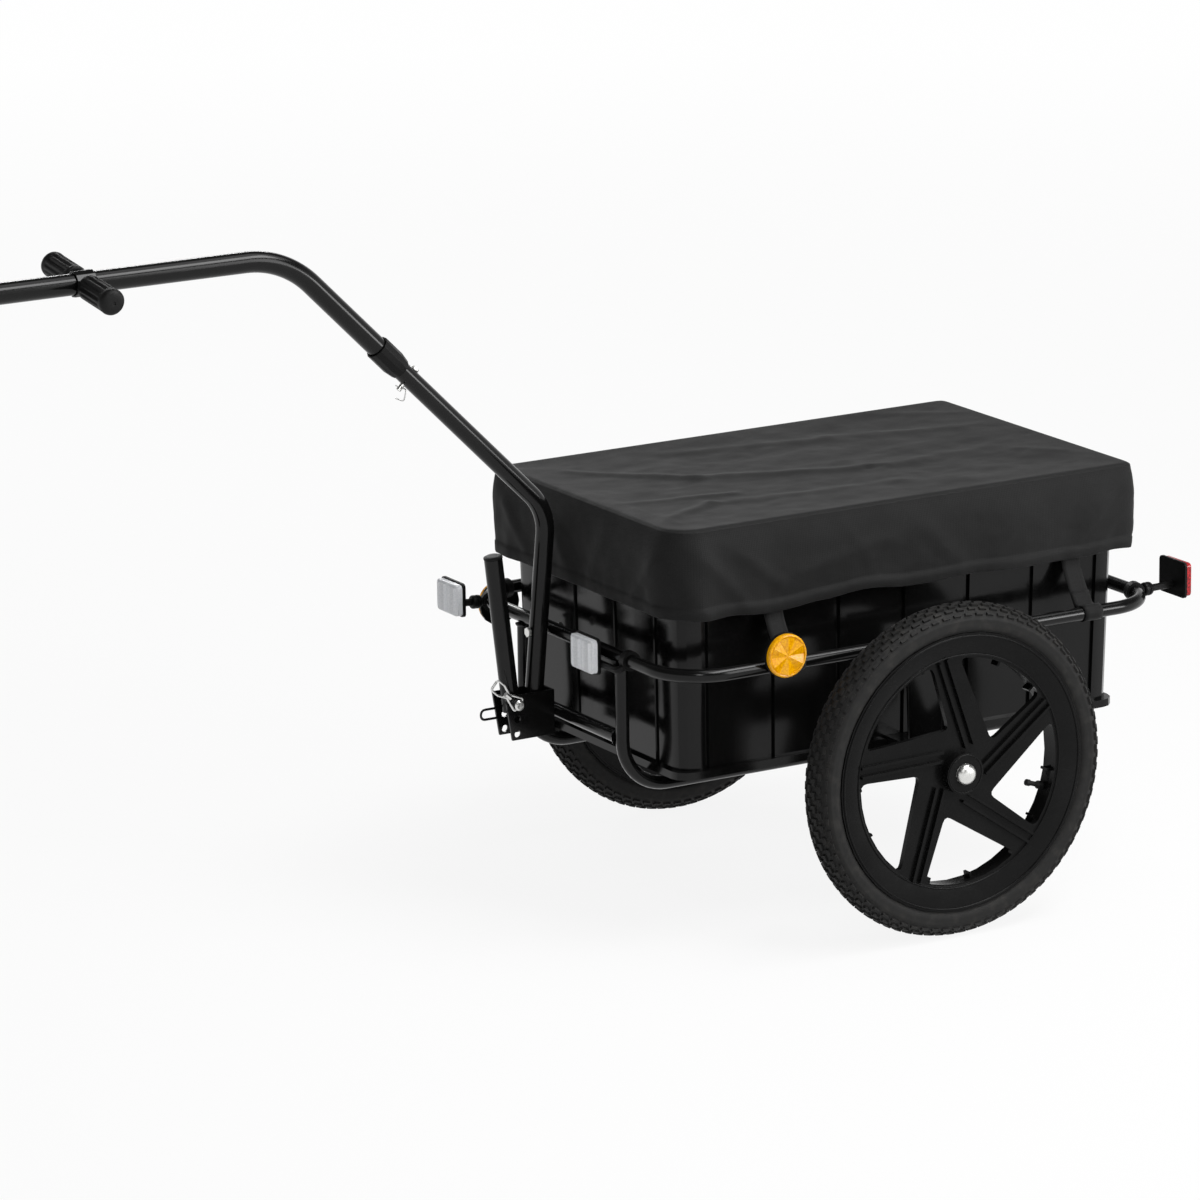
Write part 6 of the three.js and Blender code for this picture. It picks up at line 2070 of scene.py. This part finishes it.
@dataclass(frozen=True)
class Lamp:
    """A soft rectangular lamp, level along its first size, that faces the object.

    Attributes:
        name: The lamp's name.
        place: Where it hangs.
        size: Its two sizes.
        power: Its power in watts.
        target: The point that it faces.
    """

    name: str
    place: tuple[float, float, float]
    size: tuple[float, float]
    power: float
    target: tuple[float, float, float] = (0, 0, 0.3)

    def build(self) -> None:
        """Hang the lamp."""
        light = bpy.data.lights.new(self.name, "AREA")
        light.shape = "RECTANGLE"
        light.size, light.size_y = self.size
        light.energy = self.power
        lamp = bpy.data.objects.new(self.name, light)
        lamp.location = self.place
        lamp.rotation_mode = "QUATERNION"
        ahead = Vector(self.target) - Vector(self.place)
        lamp.rotation_quaternion = ahead.to_track_quat("-Z", "Y")
        bpy.context.scene.collection.objects.link(lamp)


@dataclass
class Studio:
    """Pale floor, white low surroundings and soft lamps.

    Attributes:
        floor_half: Half the floor's side.
        floor_grey: The floor's colour under the lamps.
        glow_share: How much of the floor shows as plain white, near the object and far off.
        glow_reach: The distances for the two shares.
        ambient: The world's strength as a light.
        sky: The world's strength where it is seen, low down and overhead.
        sky_reach: Between which heights of the gaze the one turns into the other.
        lamps: The lamps.
    """

    floor_half: float = 40
    floor_grey: float = 0.72
    glow_share: tuple[float, float] = (0.885, 0.995)
    glow_reach: tuple[float, float] = (1.2, 6)
    ambient: float = 0.22
    sky: tuple[float, float] = (1.0, 0.1)
    sky_reach: tuple[float, float] = (0.1, 0.5)
    lamps: Sequence[Lamp] = (
        Lamp("overhead", (1.3, -0.5, 3.4), (2.4, 2.4), 31),
        Lamp("key", (1.1, -1.4, 3.25), (2.4, 1.1), 76),
        Lamp("left_side", (2.45, -3.5, 2.3), (1.8, 2.2), 64),
        Lamp("low_side", (2.0, -1.95, 0.9), (0.7, 0.7), 15),
        Lamp("front", (-1.45, -2.95, 2.8), (0.7, 1.1), 17),
        Lamp("far_strip", (0.9, 3.2, 1.9), (2.0, 0.2), 20),
    )

    def build(self) -> None:
        """Build the floor, the world and the lamps."""
        bpy.context.scene.view_settings.view_transform = "Standard"
        self._floor()
        self._world()
        for lamp in self.lamps:
            lamp.build()

    @staticmethod
    def _seen(tree: bpy.types.NodeTree) -> bpy.types.NodeSocket:
        """Tell rays that show the surroundings from rays that light the object.

        Args:
            tree: The material's or the world's node tree.

        Returns:
            One for rays that come from the camera, a reflection or through glass.
        """
        rays = tree.nodes.new("ShaderNodeLightPath")
        seen = rays.outputs["Is Camera Ray"]
        for name in ("Is Glossy Ray", "Is Transmission Ray"):
            more = tree.nodes.new("ShaderNodeMath")
            more.operation = "MAXIMUM"
            tree.links.new(seen, more.inputs[0])
            tree.links.new(rays.outputs[name], more.inputs[1])
            seen = more.outputs["Value"]
        return seen

    def _floor(self) -> None:
        """Lay a wide floor."""
        mesh = bmesh.new()
        bmesh.ops.create_grid(mesh, x_segments=2, y_segments=2, size=self.floor_half)
        data = bpy.data.meshes.new("floor")
        mesh.to_mesh(data)
        mesh.free()
        data.materials.append(self._floor_white())
        floor = bpy.data.objects.new("floor", data)
        bpy.context.scene.collection.objects.link(floor)

    def _floor_white(self) -> bpy.types.Material:
        """Make the floor's white, which keeps a soft shadow near the object.

        Returns:
            The material.
        """
        material = bpy.data.materials.new("floor_white")
        material.use_nodes = True
        tree = material.node_tree
        tree.nodes.clear()
        matt = tree.nodes.new("ShaderNodeBsdfDiffuse")
        matt.inputs["Color"].default_value = (*grey(self.floor_grey), 1)
        glow = tree.nodes.new("ShaderNodeEmission")
        glow.inputs["Color"].default_value = (1, 1, 1, 1)
        spot = tree.nodes.new("ShaderNodeTexCoord")
        away = tree.nodes.new("ShaderNodeVectorMath")
        away.operation = "LENGTH"
        tree.links.new(spot.outputs["Object"], away.inputs[0])
        level = tree.nodes.new("ShaderNodeMapRange")
        set_range(level, self.glow_reach, self.glow_share)
        tree.links.new(away.outputs["Value"], level.inputs["Value"])
        share = tree.nodes.new("ShaderNodeMath")
        share.operation = "MULTIPLY"
        tree.links.new(level.outputs["Result"], share.inputs[1])
        tree.links.new(self._seen(tree), share.inputs[0])
        mix = tree.nodes.new("ShaderNodeMixShader")
        tree.links.new(share.outputs["Value"], mix.inputs["Fac"])
        tree.links.new(matt.outputs["BSDF"], mix.inputs[1])
        tree.links.new(glow.outputs["Emission"], mix.inputs[2])
        output = tree.nodes.new("ShaderNodeOutputMaterial")
        tree.links.new(mix.outputs["Shader"], output.inputs["Surface"])
        return material

    def _world(self) -> None:
        """White low down and dark overhead where it is seen, dim and even as a light."""
        world = bpy.data.worlds.new("studio_world")
        world.use_nodes = True
        tree = world.node_tree
        background = tree.nodes["Background"]
        background.inputs["Color"].default_value = (1, 1, 1, 1)
        ways = tree.nodes.new("ShaderNodeTexCoord")
        split = tree.nodes.new("ShaderNodeSeparateXYZ")
        tree.links.new(ways.outputs["Generated"], split.inputs["Vector"])
        fade = tree.nodes.new("ShaderNodeMapRange")
        fade.interpolation_type = "SMOOTHSTEP"
        set_range(fade, self.sky_reach, self.sky)
        tree.links.new(split.outputs["Z"], fade.inputs["Value"])
        level = tree.nodes.new("ShaderNodeMapRange")
        level.inputs["To Min"].default_value = self.ambient
        tree.links.new(fade.outputs["Result"], level.inputs["To Max"])
        tree.links.new(self._seen(tree), level.inputs["Value"])
        tree.links.new(level.outputs["Result"], background.inputs["Strength"])
        bpy.context.scene.world = world


# The whole


class Builder(Protocol):
    """Anything that puts its own pieces into the scene."""

    def build(self) -> None:
        """Put them in."""


def main() -> None:
    """Build the trailer, the studio and the camera."""
    logging.basicConfig(level=logging.INFO, format="%(message)s")
    builders: Sequence[Builder] = (
        Viewpoint(), Studio(), Frame(), RunningGear(), Cover(), Straps(), Drawbar(), Fittings(),
        Reflectors(),
    )  # fmt: skip
    for builder in builders:
        builder.build()


if __name__ == "__main__":
    main()
